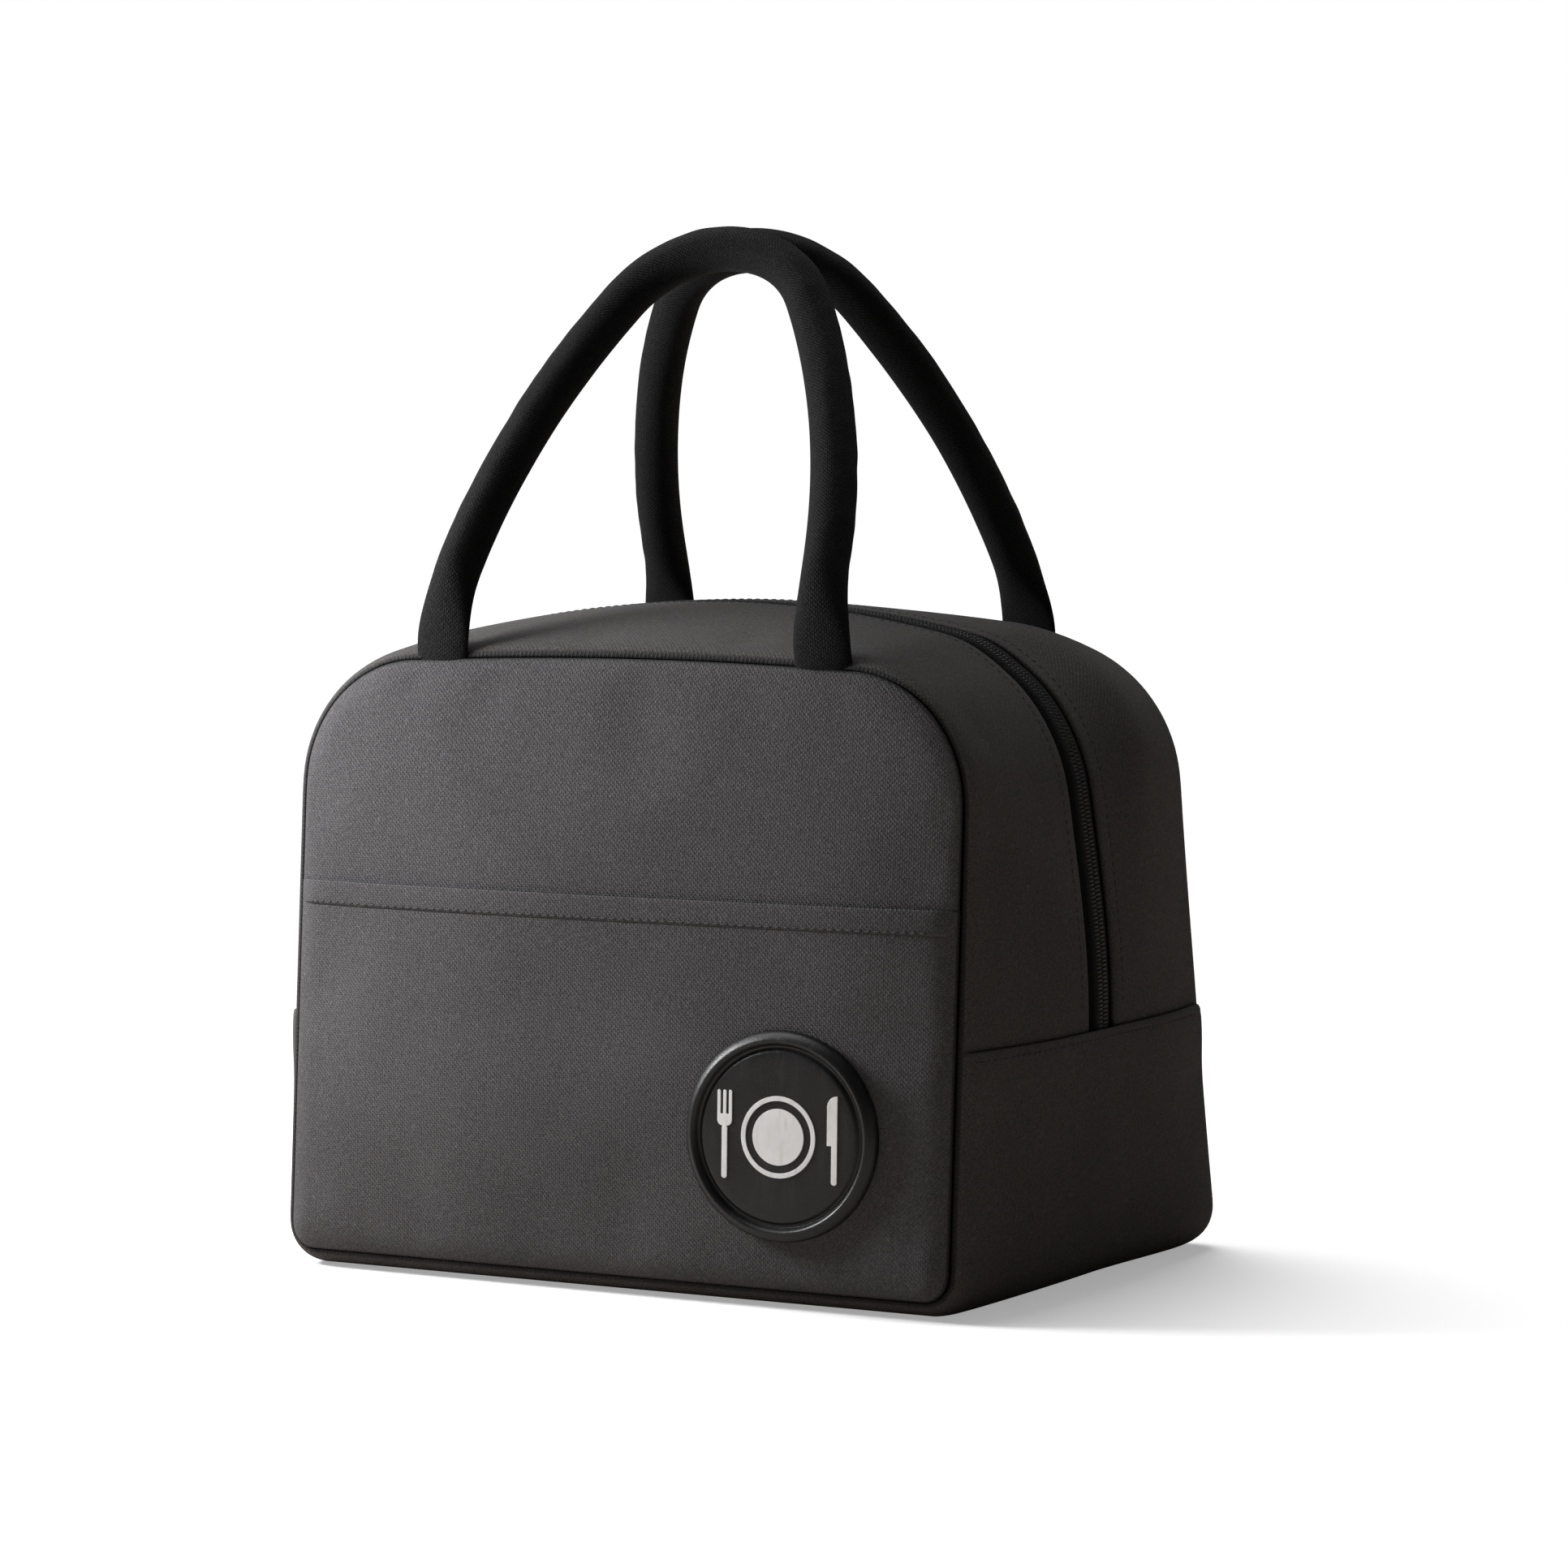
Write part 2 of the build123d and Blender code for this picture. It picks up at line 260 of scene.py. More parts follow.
def panel_point(x, z):
    """The front panel's surface over a point of its outline."""
    from_seam = seam_distance(x, z) - SEAM_DIP
    roll = PANEL_ROLL * (0.35 + 0.65 * ease(z, 0, 30 * MM))
    y = -half_depth(z) + roll_over(from_seam, roll) - panel_crown(x, z)
    return Vector((x, y, z + top_bow(x, z)))


def side_lean(x, z):
    """How far the gusset leans in at a height. Only the right side does."""
    return SIDE_LEAN * ease(z, 80 * MM, 190 * MM) if x > 0 else 0.0


def gusset_point(x, z, from_seam):
    """A point of the gusset, for a point of the outline and a distance from the front seam."""
    out = outwards(x, z)
    depth = half_depth(z)
    y = -depth + SEAM_DIP + from_seam
    belly = 1 - (y / depth) ** 2
    lift = SEAM_DIP - roll_over(from_seam, GUSSET_ROLL)
    side = lift + (SIDE_BULGE - side_lean(x, z)) * belly
    settle = 1 - math.exp(-from_seam / (4 * MM))
    droop = CROWN_DROOP[0] if x < 0 else CROWN_DROOP[1]
    dome = 1 - droop * min(abs(x) / (70 * MM), 1.3) ** 2
    end = lift + (CROWN_RISE * belly * dome if out.y > 0 else PANEL_BOTTOM * settle)
    return Vector((x + out.x * side, y, z + top_bow(x, z) + out.y * end))


def spread_foot(bm):
    """The bag's own weight pushes its rear corners out near the floor."""
    for vert in bm.verts:
        low = max(1 - vert.co.z / SPREAD_TOP, 0) ** 1.3
        back = ease(vert.co.y, 12 * MM, BASE_HALF_DEPTH)
        aside = ease(abs(vert.co.x), 40 * MM, HALF_WIDTH)
        vert.co.x += math.copysign(FOOT_SPREAD.x, vert.co.x) * low * back * aside
        vert.co.y += FOOT_SPREAD.y * low * back * (0.5 + 0.5 * aside)


def lift_shoulder(bm):
    """Behind the zipper the right shoulder stays full."""
    height = bm.verts.layers.float["rest_z"]
    for vert in bm.verts:
        behind = ease(vert.co.y, 14 * MM, 34 * MM) * max(1 - (vert.co.y / half_depth(vert.co.z)) ** 2, 0)
        aside = min(max(vert.co.x, 0) / (70 * MM), 1.3) ** 2
        out = outwards(vert.co.x, vert[height])
        if out.y > 0:
            vert.co.z += out.y * CROWN_RISE * 0.3 * behind * aside
        vert.co.x += max(out.x, 0) * side_lean(vert.co.x, vert[height]) * behind


depths = [round(2 * half_depth(z) / MM) for z in (0, PANEL_TOP)]
print("depth at the base and at the top, mm:", *depths)

# %% Build the shell from one grid
PANEL, GUSSET, ZIP_GAP, BASE = 0, 1, 2, 3


def front_grid():
    """A grid in the panel's outline, with the side seam's height on one of its rows."""
    bm = bmesh.new()
    bmesh.ops.create_grid(bm, x_segments=COLUMNS, y_segments=ROWS, size=1)
    heights = {round(v.co.y, 6): grid_height(v.co.y) for v in bm.verts}
    snapped = min(heights, key=lambda row: abs(heights[row] - SIDE_SEAM))
    heights[snapped] = SIDE_SEAM
    for vert in bm.verts:
        z = heights[round(vert.co.y, 6)]
        x = math.sin(vert.co.x * math.pi / 2) * half_width(z, SEAM_DIP)
        vert.co = (x, 0, z)
    return bm


def ring_distance(ring, z):
    """How far a ring of the gusset is from the seam."""
    span = half_depth(z) - SEAM_DIP - ZIP_HALF
    if ring <= RINGS:
        return span * (1 - math.cos(math.pi / 2 * ring / RINGS))
    return span + ZIP_HALF * (ring - RINGS) / 2


def run_along(bm, border, along):
    """Measures each seam point's way round the outline, from the middle of the bottom."""
    middle = PANEL_TOP / 2
    around = sorted(
        {v for edge in border for v in edge.verts},
        key=lambda v: math.atan2(v.co.x, middle - v.co.z) % math.tau,
    )
    way = 0.0
    for vert, after in zip(around, around[1:]):
        vert[along] = way
        way += math.hypot(after.co.x - vert.co.x, after.co.z - vert.co.z)
    around[-1][along] = way
    return way + math.hypot(around[0].co.x - around[-1].co.x, around[0].co.z - around[-1].co.z)


def make_shell():
    """The whole outer surface, with each face told which piece it belongs to."""
    bm = front_grid()
    part = bm.faces.layers.int.new("part")
    panel_faces = set(bm.faces)
    rest_x = bm.verts.layers.float.new("rest_x")
    rest_z = bm.verts.layers.float.new("rest_z")
    along = bm.verts.layers.float.new("along")
    from_seam = bm.verts.layers.float.new("from_seam")
    border = [edge for edge in bm.edges if edge.is_boundary]
    whole_way = run_along(bm, border, along)
    for vert in bm.verts:
        x, z = vert.co.x, vert.co.z
        vert[rest_x], vert[rest_z] = x, z
        vert[from_seam] = max(seam_distance(x, z) - SEAM_DIP, 0)
        vert.co = panel_point(x, z)
    for ring in range(1, RINGS + 3):
        made = bmesh.ops.extrude_edge_only(bm, edges=border)["geom"]
        border = [g for g in made if isinstance(g, bmesh.types.BMEdge) and g.is_boundary]
        for vert in {v for edge in border for v in edge.verts}:
            x, z = vert[rest_x], vert[rest_z]
            vert[from_seam] = ring_distance(ring, z)
            vert.co = gusset_point(x, z, vert[from_seam])
    threads = bm.loops.layers.uv.new("threads")
    for face in bm.faces:
        middle = face.calc_center_median()
        if face in panel_faces:
            face[part] = PANEL
        elif middle.z < SIDE_SEAM:
            face[part] = BASE
        else:
            face[part] = ZIP_GAP if middle.y > -ZIP_HALF else GUSSET
        for loop in face.loops:
            vert = loop.vert
            way = vert[along] or (whole_way if middle.x < 0 else 0.0)
            on_panel = face[part] == PANEL
            loop[threads].uv = (vert[rest_x], vert[rest_z]) if on_panel else (way, vert[from_seam])
    bmesh.ops.mirror(bm, geom=bm.verts[:] + bm.edges[:] + bm.faces[:], merge_dist=0.01 * MM, axis="Y")
    bmesh.ops.recalc_face_normals(bm, faces=bm.faces)
    spread_foot(bm)
    lift_shoulder(bm)
    return bm


shell = make_shell()
open_edges = sum(edge.is_boundary for edge in shell.edges)
print("shell:", len(shell.verts), "points,", open_edges, "open edges")

# %% [markdown]
# ### Let the cloth settle
# A drawn surface is too even for a sewn bag. So the shell is given to the cloth solver for a short
# time, with a little air pressure inside and slightly too much cloth. The seams, the zipper and the
# floor hold it. A cap keeps every move small, and only the moved points are taken over.

# %% Let the cloth settle
SETTLE_FRAMES = 18
SETTLE_CAP = 1.8 * MM
AIR_PRESSURE = 0.6
EXTRA_CLOTH = -0.0015


def holding(vert, from_seam):
    """How firmly a point is held: 1 in a seam, at the zipper and on the floor."""
    seam = 1 - ease(vert[from_seam], 1 * MM, 6 * MM)
    zipper = 1 - ease(abs(vert.co.y), ZIP_HALF + 1 * MM, ZIP_HALF + 8 * MM)
    ground = 1 - ease(vert.co.z, 1 * MM, 6 * MM)
    return max(seam, zipper, ground)


def settle(bm):
    """Runs the solver on a copy of the surface, and moves each point by what it found, up to a cap."""
    mesh = bpy.data.meshes.new("settling")
    bm.to_mesh(mesh)
    copy = bpy.data.objects.new("settling", mesh)
    bpy.context.scene.collection.objects.link(copy)
    pins = copy.vertex_groups.new(name="pins")
    from_seam = bm.verts.layers.float["from_seam"]
    bm.verts.ensure_lookup_table()
    for vert in bm.verts:
        pins.add([vert.index], holding(vert, from_seam), "REPLACE")
    solver = copy.modifiers.new("cloth", "CLOTH")
    solver.point_cache.frame_start = 1
    solver.point_cache.frame_end = SETTLE_FRAMES
    cloth = solver.settings
    cloth.vertex_group_mass = "pins"
    cloth.use_pressure = True
    cloth.uniform_pressure_force = AIR_PRESSURE
    cloth.shrink_min = EXTRA_CLOTH
    cloth.quality = 6
    cloth.mass = 0.3
    cloth.bending_stiffness = 4.0
    cloth.air_damping = 4.0
    cloth.effector_weights.gravity = 0
    solver.collision_settings.use_collision = False
    for number in range(1, SETTLE_FRAMES + 1):
        bpy.context.scene.frame_set(number)
    settled = copy.evaluated_get(bpy.context.evaluated_depsgraph_get()).data
    moves = [point.co - vert.co for point, vert in zip(settled.vertices, bm.verts)]
    for vert, move in zip(bm.verts, moves):
        vert.co += move * min(1, SETTLE_CAP / max(move.length, 1e-9))
    bpy.data.objects.remove(copy)
    bpy.data.meshes.remove(mesh)
    bpy.context.scene.frame_set(1)
    return [move.length / MM for move in moves]


moved = settle(shell)
print("settled, mean and longest move in mm:", round(sum(moved) / len(moved), 2), round(max(moved), 2))

# %% [markdown]
# ## Helpers for pieces
# A piece is one mesh at the origin. Modifiers are applied at once, so the mesh is final before it is
# tied to the moving bodies. Flat shading would show the facets, so every face is smoothed.

# %% Turn a bmesh into a finished piece


def new_piece(name, bm, material, smooth=True):
    mesh = bpy.data.meshes.new(name)
    for face in bm.faces:
        face.smooth = smooth
    bm.to_mesh(mesh)
    bm.free()
    piece = bpy.data.objects.new(name, mesh)
    bpy.context.scene.collection.objects.link(piece)
    mesh.materials.append(material)
    return piece


def modify(piece, kind, **settings):
    modifier = piece.modifiers.new(kind.lower(), kind)
    for key, value in settings.items():
        setattr(modifier, key, value)
    return modifier


def apply_modifiers(piece):
    graph = bpy.context.evaluated_depsgraph_get()
    final = bpy.data.meshes.new_from_object(piece.evaluated_get(graph))
    piece.modifiers.clear()
    piece.data = final
    return piece


def thicken(piece, thickness, levels=1):
    """Gives a surface its thickness inwards, and rounds its folded edges."""
    modify(piece, "SOLIDIFY", thickness=thickness, offset=-1)
    modify(piece, "SUBSURF", levels=levels, render_levels=levels)
    return apply_modifiers(piece)


def cut_out(keep):
    """A copy of the shell with only one piece's faces. The test gets each face's part, its middle,
    its lowest height and its nearest distance to the seam."""
    bm = shell.copy()
    part = bm.faces.layers.int["part"]
    height = bm.verts.layers.float["rest_z"]
    distance = bm.verts.layers.float["from_seam"]
    unwanted = []
    for face in bm.faces:
        low = min(vert[height] for vert in face.verts)
        near = min(vert[distance] for vert in face.verts)
        if not keep(face[part], face.calc_center_median(), low, near):
            unwanted.append(face)
    bmesh.ops.delete(bm, geom=unwanted, context="FACES")
    bm.normal_update()
    return bm


def new_row(made, points, place):
    """Puts the newly extruded points in place, and returns the edges between them."""
    fresh = {item for item in made if isinstance(item, bmesh.types.BMVert)}
    for vert in fresh:
        vert.co = points[vert[place]]
    return [item for item in made if isinstance(item, bmesh.types.BMEdge) and fresh.issuperset(item.verts)]


def turn_in(bm, moves, chosen=None, paint_fold_shade=False):
    """Turns a border under, like a seam allowance. A move is how far past the border the cloth
    goes, and how far below it. With painted fold shade, the fold's new points are set at the seam,
    so that they take the seam's painted shade."""
    bm.normal_update()
    border = [e for e in bm.edges if e.is_boundary and (chosen is None or all(map(chosen, e.verts)))]
    place = bm.verts.layers.int.new("place")
    facts = []
    for vert in {v for edge in border for v in edge.verts}:
        past = Vector()
        for edge in set(vert.link_edges).intersection(border):
            middle = (edge.verts[0].co + edge.verts[1].co) / 2
            past += (middle - edge.link_faces[0].calc_center_median()).normalized()
        past -= vert.normal * past.dot(vert.normal)
        vert[place] = len(facts)
        facts.append((vert.co.copy(), past.normalized(), vert.normal.copy()))
    for beyond, below in moves:
        made = bmesh.ops.extrude_edge_only(bm, edges=border)["geom"]
        points = [co + past * beyond - normal * below for co, past, normal in facts]
        border = new_row(made, points, place)
        # Painted shade: the fold's new points count as lying in the seam, so the cloth's painted seam shade
        # darkens them.
        if paint_fold_shade:
            distance = bm.verts.layers.float["from_seam"]
            for vert in {v for edge in border for v in edge.verts}:
                vert[distance] = 0.0
    bm.verts.layers.int.remove(place)
    return bm


def shift_surface(bm, distance):
    """Moves a surface along its own normals, which stay the same until they are updated."""
    bm.normal_update()
    for vert in bm.verts:
        vert.co += vert.normal * distance
    return bm


def axes(along, across, up):
    """A rotation whose own x, y and z point these three ways."""
    return Matrix((along, across, up)).transposed().to_4x4()


def round_edges(bm, edges, offset, segments=1):
    bmesh.ops.bevel(bm, geom=edges, offset=offset, segments=segments, profile=0.5, affect="EDGES",
                    material=-1)


def bend(piece, side):
    """The piece bends between the base and one half of the mouth."""
    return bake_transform(piece, "root", side + "_mouth", start=BEND_START, end=BEND_END)


print("helpers ready")

# %% [markdown]
# ## Finishes
# Cloth reads as cloth through three scales: threads, the speckle of spun yarn, and slow patches
# where it is a little lighter. Each scale is a node group that several finishes share. A group is
# made once, and each material places it with its own values.

# %% Node helpers


def srgb(red, green, blue):
    """A colour as it is read off a swatch, for the shaders."""
    linear = [c / 12.92 if c <= 0.04045 else ((c + 0.055) / 1.055) ** 2.4 for c in (red, green, blue)]
    return (*linear, 1.0)


def connect(tree, node, inputs):
    for label, value in inputs.items():
        if isinstance(value, bpy.types.NodeSocket):
            tree.links.new(value, node.inputs[label])
        else:
            node.inputs[label].default_value = value


def add_node(tree, kind, inputs=None, **settings):
    node = tree.nodes.new("ShaderNode" + kind)
    for key, value in settings.items():
        setattr(node, key, value)
    connect(tree, node, inputs or {})
    return node


def calc(tree, operation, a, b=0.0):
    return add_node(tree, "Math", {0: a, 1: b}, operation=operation).outputs[0]


def weighted_sum(tree, *shares):
    """Adds values up, each with its own weight."""
    parts = [calc(tree, "MULTIPLY", value, weight) for value, weight in shares]
    total = parts[0]
    for part in parts[1:]:
        total = calc(tree, "ADD", total, part)
    return total


def blend_colour(tree, factor, dark, light):
    node = add_node(tree, "Mix", {0: factor, 6: dark, 7: light}, data_type="RGBA")
    return node.outputs[2]


def remap(tree, value, low, high, to_low=0.0, to_high=1.0):
    inputs = {"Value": value, "From Min": low, "From Max": high, "To Min": to_low, "To Max": to_high}
    return add_node(tree, "MapRange", inputs).outputs["Result"]


def speckle(tree, where, scale, detail=2.0, roughness=0.5):
    inputs = {"Vector": where, "Scale": scale, "Detail": detail, "Roughness": roughness}
    return add_node(tree, "TexNoise", inputs).outputs["Fac"]


def new_group(name, inputs, outputs):
    tree = bpy.data.node_groups.new(name, "ShaderNodeTree")
    for label, kind, value in inputs:
        socket = tree.interface.new_socket(label, in_out="INPUT", socket_type="NodeSocket" + kind)
        if value is not None:
            socket.default_value = value
    for label in outputs:
        tree.interface.new_socket(label, in_out="OUTPUT", socket_type="NodeSocketFloat")
    source = tree.nodes.new("NodeGroupInput").outputs
    return tree, source, tree.nodes.new("NodeGroupOutput")


# %% Group: the speckle of spun yarn


def build_yarn_grain():
    inputs = [("Vector", "Vector", None), ("Grain Scale", "Float", 1400.0), ("Patch Scale", "Float", 22.0)]
    tree, source, end = new_group("yarn_grain", inputs, ["Grain", "Fleck", "Patch"])
    fine = speckle(tree, source["Vector"], source["Grain Scale"], 3.0, 0.65)
    fleck = speckle(tree, source["Vector"], calc(tree, "MULTIPLY", source["Grain Scale"], 0.42), 1.0)
    patch = speckle(tree, source["Vector"], source["Patch Scale"], 3.0)
    grain = remap(tree, fine, 0.32, 0.68)
    lone_flecks = remap(tree, fleck, 0.66, 0.74)
    connect(tree, end, {"Grain": grain, "Fleck": lone_flecks, "Patch": remap(tree, patch, 0.3, 0.7)})
    return tree


YARN_GRAIN = build_yarn_grain()
print("group:", YARN_GRAIN.name)

# %% Group: threads that pass over and under each other


def build_weave():
    threads = [(f"Threads {way}", "Float", 1400.0) for way in ("Across", "Along")]
    inputs = [("Vector", "Vector", None)] + threads
    tree, source, end = new_group("weave", inputs, ["Height", "Gap"])
    split = add_node(tree, "SeparateXYZ", {0: source["Vector"]}).outputs
    across = calc(tree, "MULTIPLY", split["X"], source["Threads Across"])
    along = calc(tree, "MULTIPLY", split["Y"], source["Threads Along"])
    warp = calc(tree, "ABSOLUTE", calc(tree, "SINE", calc(tree, "MULTIPLY", across, math.pi)))
    weft = calc(tree, "ABSOLUTE", calc(tree, "SINE", calc(tree, "MULTIPLY", along, math.pi)))
    cell = calc(tree, "ADD", calc(tree, "FLOOR", across), calc(tree, "FLOOR", along))
    over = calc(tree, "FLOORED_MODULO", cell, 2.0)
    inputs = {0: over, 2: warp, 3: weft}
    height = add_node(tree, "Mix", inputs, data_type="FLOAT").outputs[0]
    connect(tree, end, {"Height": height, "Gap": remap(tree, height, 0.45, 0.0)})
    return tree


WEAVE = build_weave()
print("group:", WEAVE.name)

# %% Group: scuffs and a film of dust


def build_scuffs():
    inputs = [("Vector", "Vector", None), ("Scuff Scale", "Float", 300.0)]
    tree, source, end = new_group("scuffs", inputs, ["Scuff", "Dust"])
    long_way = add_node(tree, "Mapping", {"Vector": source["Vector"], "Scale": (1.0, 1.0, 0.22)})
    scratch = speckle(tree, long_way.outputs[0], source["Scuff Scale"], 4.0, 0.6)
    film = speckle(tree, source["Vector"], calc(tree, "MULTIPLY", source["Scuff Scale"], 0.2), 4.0, 0.6)
    connect(tree, end, {"Scuff": remap(tree, scratch, 0.5, 0.72), "Dust": remap(tree, film, 0.4, 0.75)})
    return tree


SCUFFS = build_scuffs()
print("group:", SCUFFS.name)

# %% Material helpers


def new_material(name, **constants):
    material = bpy.data.materials.new(name)
    material.use_nodes = True
    tree = material.node_tree
    shader = tree.nodes["Principled BSDF"]
    connect(tree, shader, {label.replace("_", " "): value for label, value in constants.items()})
    return material, tree, shader


def place_group(tree, group, inputs):
    node = tree.nodes.new("ShaderNodeGroup")
    node.node_tree = group
    connect(tree, node, inputs)
    return node.outputs


def object_place(tree):
    return add_node(tree, "TexCoord").outputs["Object"]


def add_bump(tree, shader, height, distance, strength=1.0):
    bump = add_node(tree, "Bump", {"Height": height, "Distance": distance, "Strength": strength})
    tree.links.new(bump.outputs["Normal"], shader.inputs["Normal"])


# %% [markdown]
# ### Cloths
# The walls are a charcoal polyester with a fine, slightly glittering yarn. The handles are the same
# kind of cloth, dyed darker and woven more tightly. The threads follow a UV map in metres, because a
# pattern that reads the object's own axes would turn into stripes where the cloth bends round a seam.
# Over the last millimetre before a seam the wall cloths are painted darker, as painted shade for the
# groove of the seam. Each point knows its distance from the seam, as an attribute.

# %% Mix the cloths


def mix_cloth(name, dark, light, threads, bump, fleck=0.35, gloss=0.25, painted_seam_shade=False):
    sheen = {"Sheen_Weight": 0.03, "Sheen_Roughness": 0.45}
    material, tree, shader = new_material(name, Specular_IOR_Level=gloss, **sheen)
    grain = place_group(tree, YARN_GRAIN, {"Vector": object_place(tree)})
    way = add_node(tree, "UVMap", uv_map="threads").outputs["UV"]
    weave = place_group(tree, WEAVE, {"Vector": way, "Threads Across": threads, "Threads Along": threads})
    shares = (grain["Grain"], 0.62), (grain["Patch"], 0.3), (grain["Fleck"], fleck), (weave["Gap"], -0.25)
    colour = blend_colour(tree, weighted_sum(tree, *shares), dark, light)
    # Painted shade: within a millimetre of the seam the colour goes to a far darker copy of the cloth, for
    # the shade in the seam's groove.
    if painted_seam_shade:
        distance = add_node(tree, "Attribute", attribute_name="from_seam").outputs["Fac"]
        edge = tuple(c * 0.12 for c in dark[:3]) + (1.0,)
        colour = blend_colour(tree, remap(tree, distance, 0.1 * MM, 0.9 * MM), edge, colour)
    rough = remap(tree, grain["Grain"], 0, 1, 0.9, 0.68)
    connect(tree, shader, {"Base Color": colour, "Roughness": rough})
    add_bump(tree, shader, weighted_sum(tree, (weave["Height"], 1.0), (grain["Grain"], 0.9)), bump)
    return material


WALL_TONES = srgb(0.225, 0.218, 0.222), srgb(0.345, 0.335, 0.342)
# Painted shade: the gussets and the base get a slightly darker, warmer copy of the wall cloth, for the sides
# that the light leaves in shade.
SHADED_SIDE_TONES = srgb(0.21, 0.2, 0.195), srgb(0.32, 0.308, 0.302)
HANDLE_TONES = srgb(0.03, 0.03, 0.03), srgb(0.085, 0.085, 0.087)
BINDING_TONES = srgb(0.06, 0.06, 0.065), srgb(0.14, 0.14, 0.145)
TAPE_TONES = srgb(0.045, 0.045, 0.047), srgb(0.1, 0.1, 0.102)
WALL_CLOTH = mix_cloth("wall_cloth", *WALL_TONES, 1500, 0.09 * MM, painted_seam_shade=True)
SHADED_SIDE_CLOTH = mix_cloth("shaded_side_cloth", *SHADED_SIDE_TONES, 1500, 0.09 * MM, painted_seam_shade=True)
HANDLE_CLOTH = mix_cloth("handle_cloth", *HANDLE_TONES, 1700, 0.1 * MM, 0.1, 0.12)
BINDING_TAPE = mix_cloth("binding_tape", *BINDING_TONES, 900, 0.2 * MM, 0.0, 0.12)
ZIP_TAPE = mix_cloth("zip_tape", *TAPE_TONES, 1100, 0.16 * MM, 0.0, 0.12)
print("cloths:", [m.name for m in bpy.data.materials if m.name.endswith(("cloth", "tape"))])

# %% [markdown]
# ### Linings, foam, thread and hard finishes
# The inside is a silvery foil film, which crumples in small flat facets. Under it lies grey foam.
# The badge is moulded rubber, the zipper is nylon, and the slider is dark painted metal.

# %% Mix the other finishes


def mix_foil():
    material, tree, shader = new_material("foil_lining", Metallic=0.75)
    where = object_place(tree)
    inputs = {"Vector": where, "Scale": 95.0, "Randomness": 1.0}
    facets = add_node(tree, "TexVoronoi", inputs, feature="DISTANCE_TO_EDGE").outputs["Distance"]
    film = place_group(tree, SCUFFS, {"Vector": where, "Scuff Scale": 240.0})
    colour = blend_colour(tree, film["Dust"], srgb(0.8, 0.81, 0.82), srgb(0.66, 0.67, 0.69))
    rough = remap(tree, film["Scuff"], 0, 1, 0.28, 0.45)
    connect(tree, shader, {"Base Color": colour, "Roughness": rough})
    folds = remap(tree, facets, 0, 0.25)
    creases = weighted_sum(tree, (folds, 1.0), (speckle(tree, where, 120.0, 4.0), 0.6))
    add_bump(tree, shader, creases, 0.22 * MM)
    return material


def mix_foam(name, colour):
    material, tree, shader = new_material(name)
    where = object_place(tree)
    cells = add_node(tree, "TexVoronoi", {"Vector": where, "Scale": 900.0}).outputs["Distance"]
    grain = place_group(tree, YARN_GRAIN, {"Vector": where, "Grain Scale": 700.0})
    dark = tuple(c * 0.7 for c in colour[:3]) + (1.0,)
    connect(tree, shader, {
        "Base Color": blend_colour(tree, grain["Grain"], dark, colour),
        "Roughness": remap(tree, grain["Patch"], 0, 1, 0.85, 0.95),
    })
    add_bump(tree, shader, cells, 0.4 * MM)
    return material


def mix_smooth(name, colour, worn, rough, shine, scuff_scale, grain_scale, bump, **constants):
    """Rubber, nylon, ink and painted metal: a plain surface with scuffs, dust and a fine tooth."""
    material, tree, shader = new_material(name, **constants)
    where = object_place(tree)
    wear = place_group(tree, SCUFFS, {"Vector": where, "Scuff Scale": scuff_scale})
    grain = place_group(tree, YARN_GRAIN, {"Vector": where, "Grain Scale": grain_scale})
    mask = weighted_sum(tree, (wear["Scuff"], 0.6), (wear["Dust"], 0.4))
    connect(tree, shader, {
        "Base Color": blend_colour(tree, mask, colour, worn),
        "Roughness": remap(tree, mask, 0, 1, shine, rough),
    })
    add_bump(tree, shader, grain["Grain"], bump)
    return material


FOIL = mix_foil()
FOAM_GREY = mix_foam("wall_foam", srgb(0.55, 0.55, 0.56))
CORE_FOAM = mix_foam("handle_core_foam", srgb(0.3, 0.3, 0.31))
RUBBER_TONES = srgb(0.05, 0.05, 0.053), srgb(0.12, 0.12, 0.125)
NYLON_TONES = srgb(0.05, 0.05, 0.05), srgb(0.11, 0.11, 0.11)
INK_TONES = srgb(0.97, 0.97, 0.965), srgb(0.86, 0.86, 0.85)
METAL_TONES = srgb(0.16, 0.16, 0.17), srgb(0.45, 0.45, 0.46)
THREAD_TONES = srgb(0.13, 0.13, 0.135), srgb(0.24, 0.24, 0.25)
RUBBER = mix_smooth("badge_rubber", *RUBBER_TONES, 0.55, 0.36, 260, 1600, 0.03 * MM)
PULL_RUBBER = mix_smooth("pull_rubber", *RUBBER_TONES, 0.6, 0.45, 300, 1600, 0.03 * MM)
NYLON = mix_smooth("zip_nylon", *NYLON_TONES, 0.65, 0.45, 500, 2500, 0.02 * MM)
INK = mix_smooth("emblem_ink", *INK_TONES, 0.6, 0.45, 500, 1800, 0.02 * MM)
PAINTED_METAL = mix_smooth("painted_metal", *METAL_TONES, 0.42, 0.25, 700, 2500, 0.01 * MM, Metallic=0.8)
SEWING_THREAD = mix_smooth("sewing_thread", *THREAD_TONES, 0.8, 0.6, 900, 4000, 0.05 * MM)
print("materials:", len(bpy.data.materials))

# %% [markdown]
# ## The outer cloth
# Each cloth is cut out of the shell, so that neighbours meet exactly. At a seam the cloth turns in,
# and both layers run into the bag side by side: that makes the dark groove along every seam. At the
# zipper the cloth is folded back on itself, which gives a round, double edge.

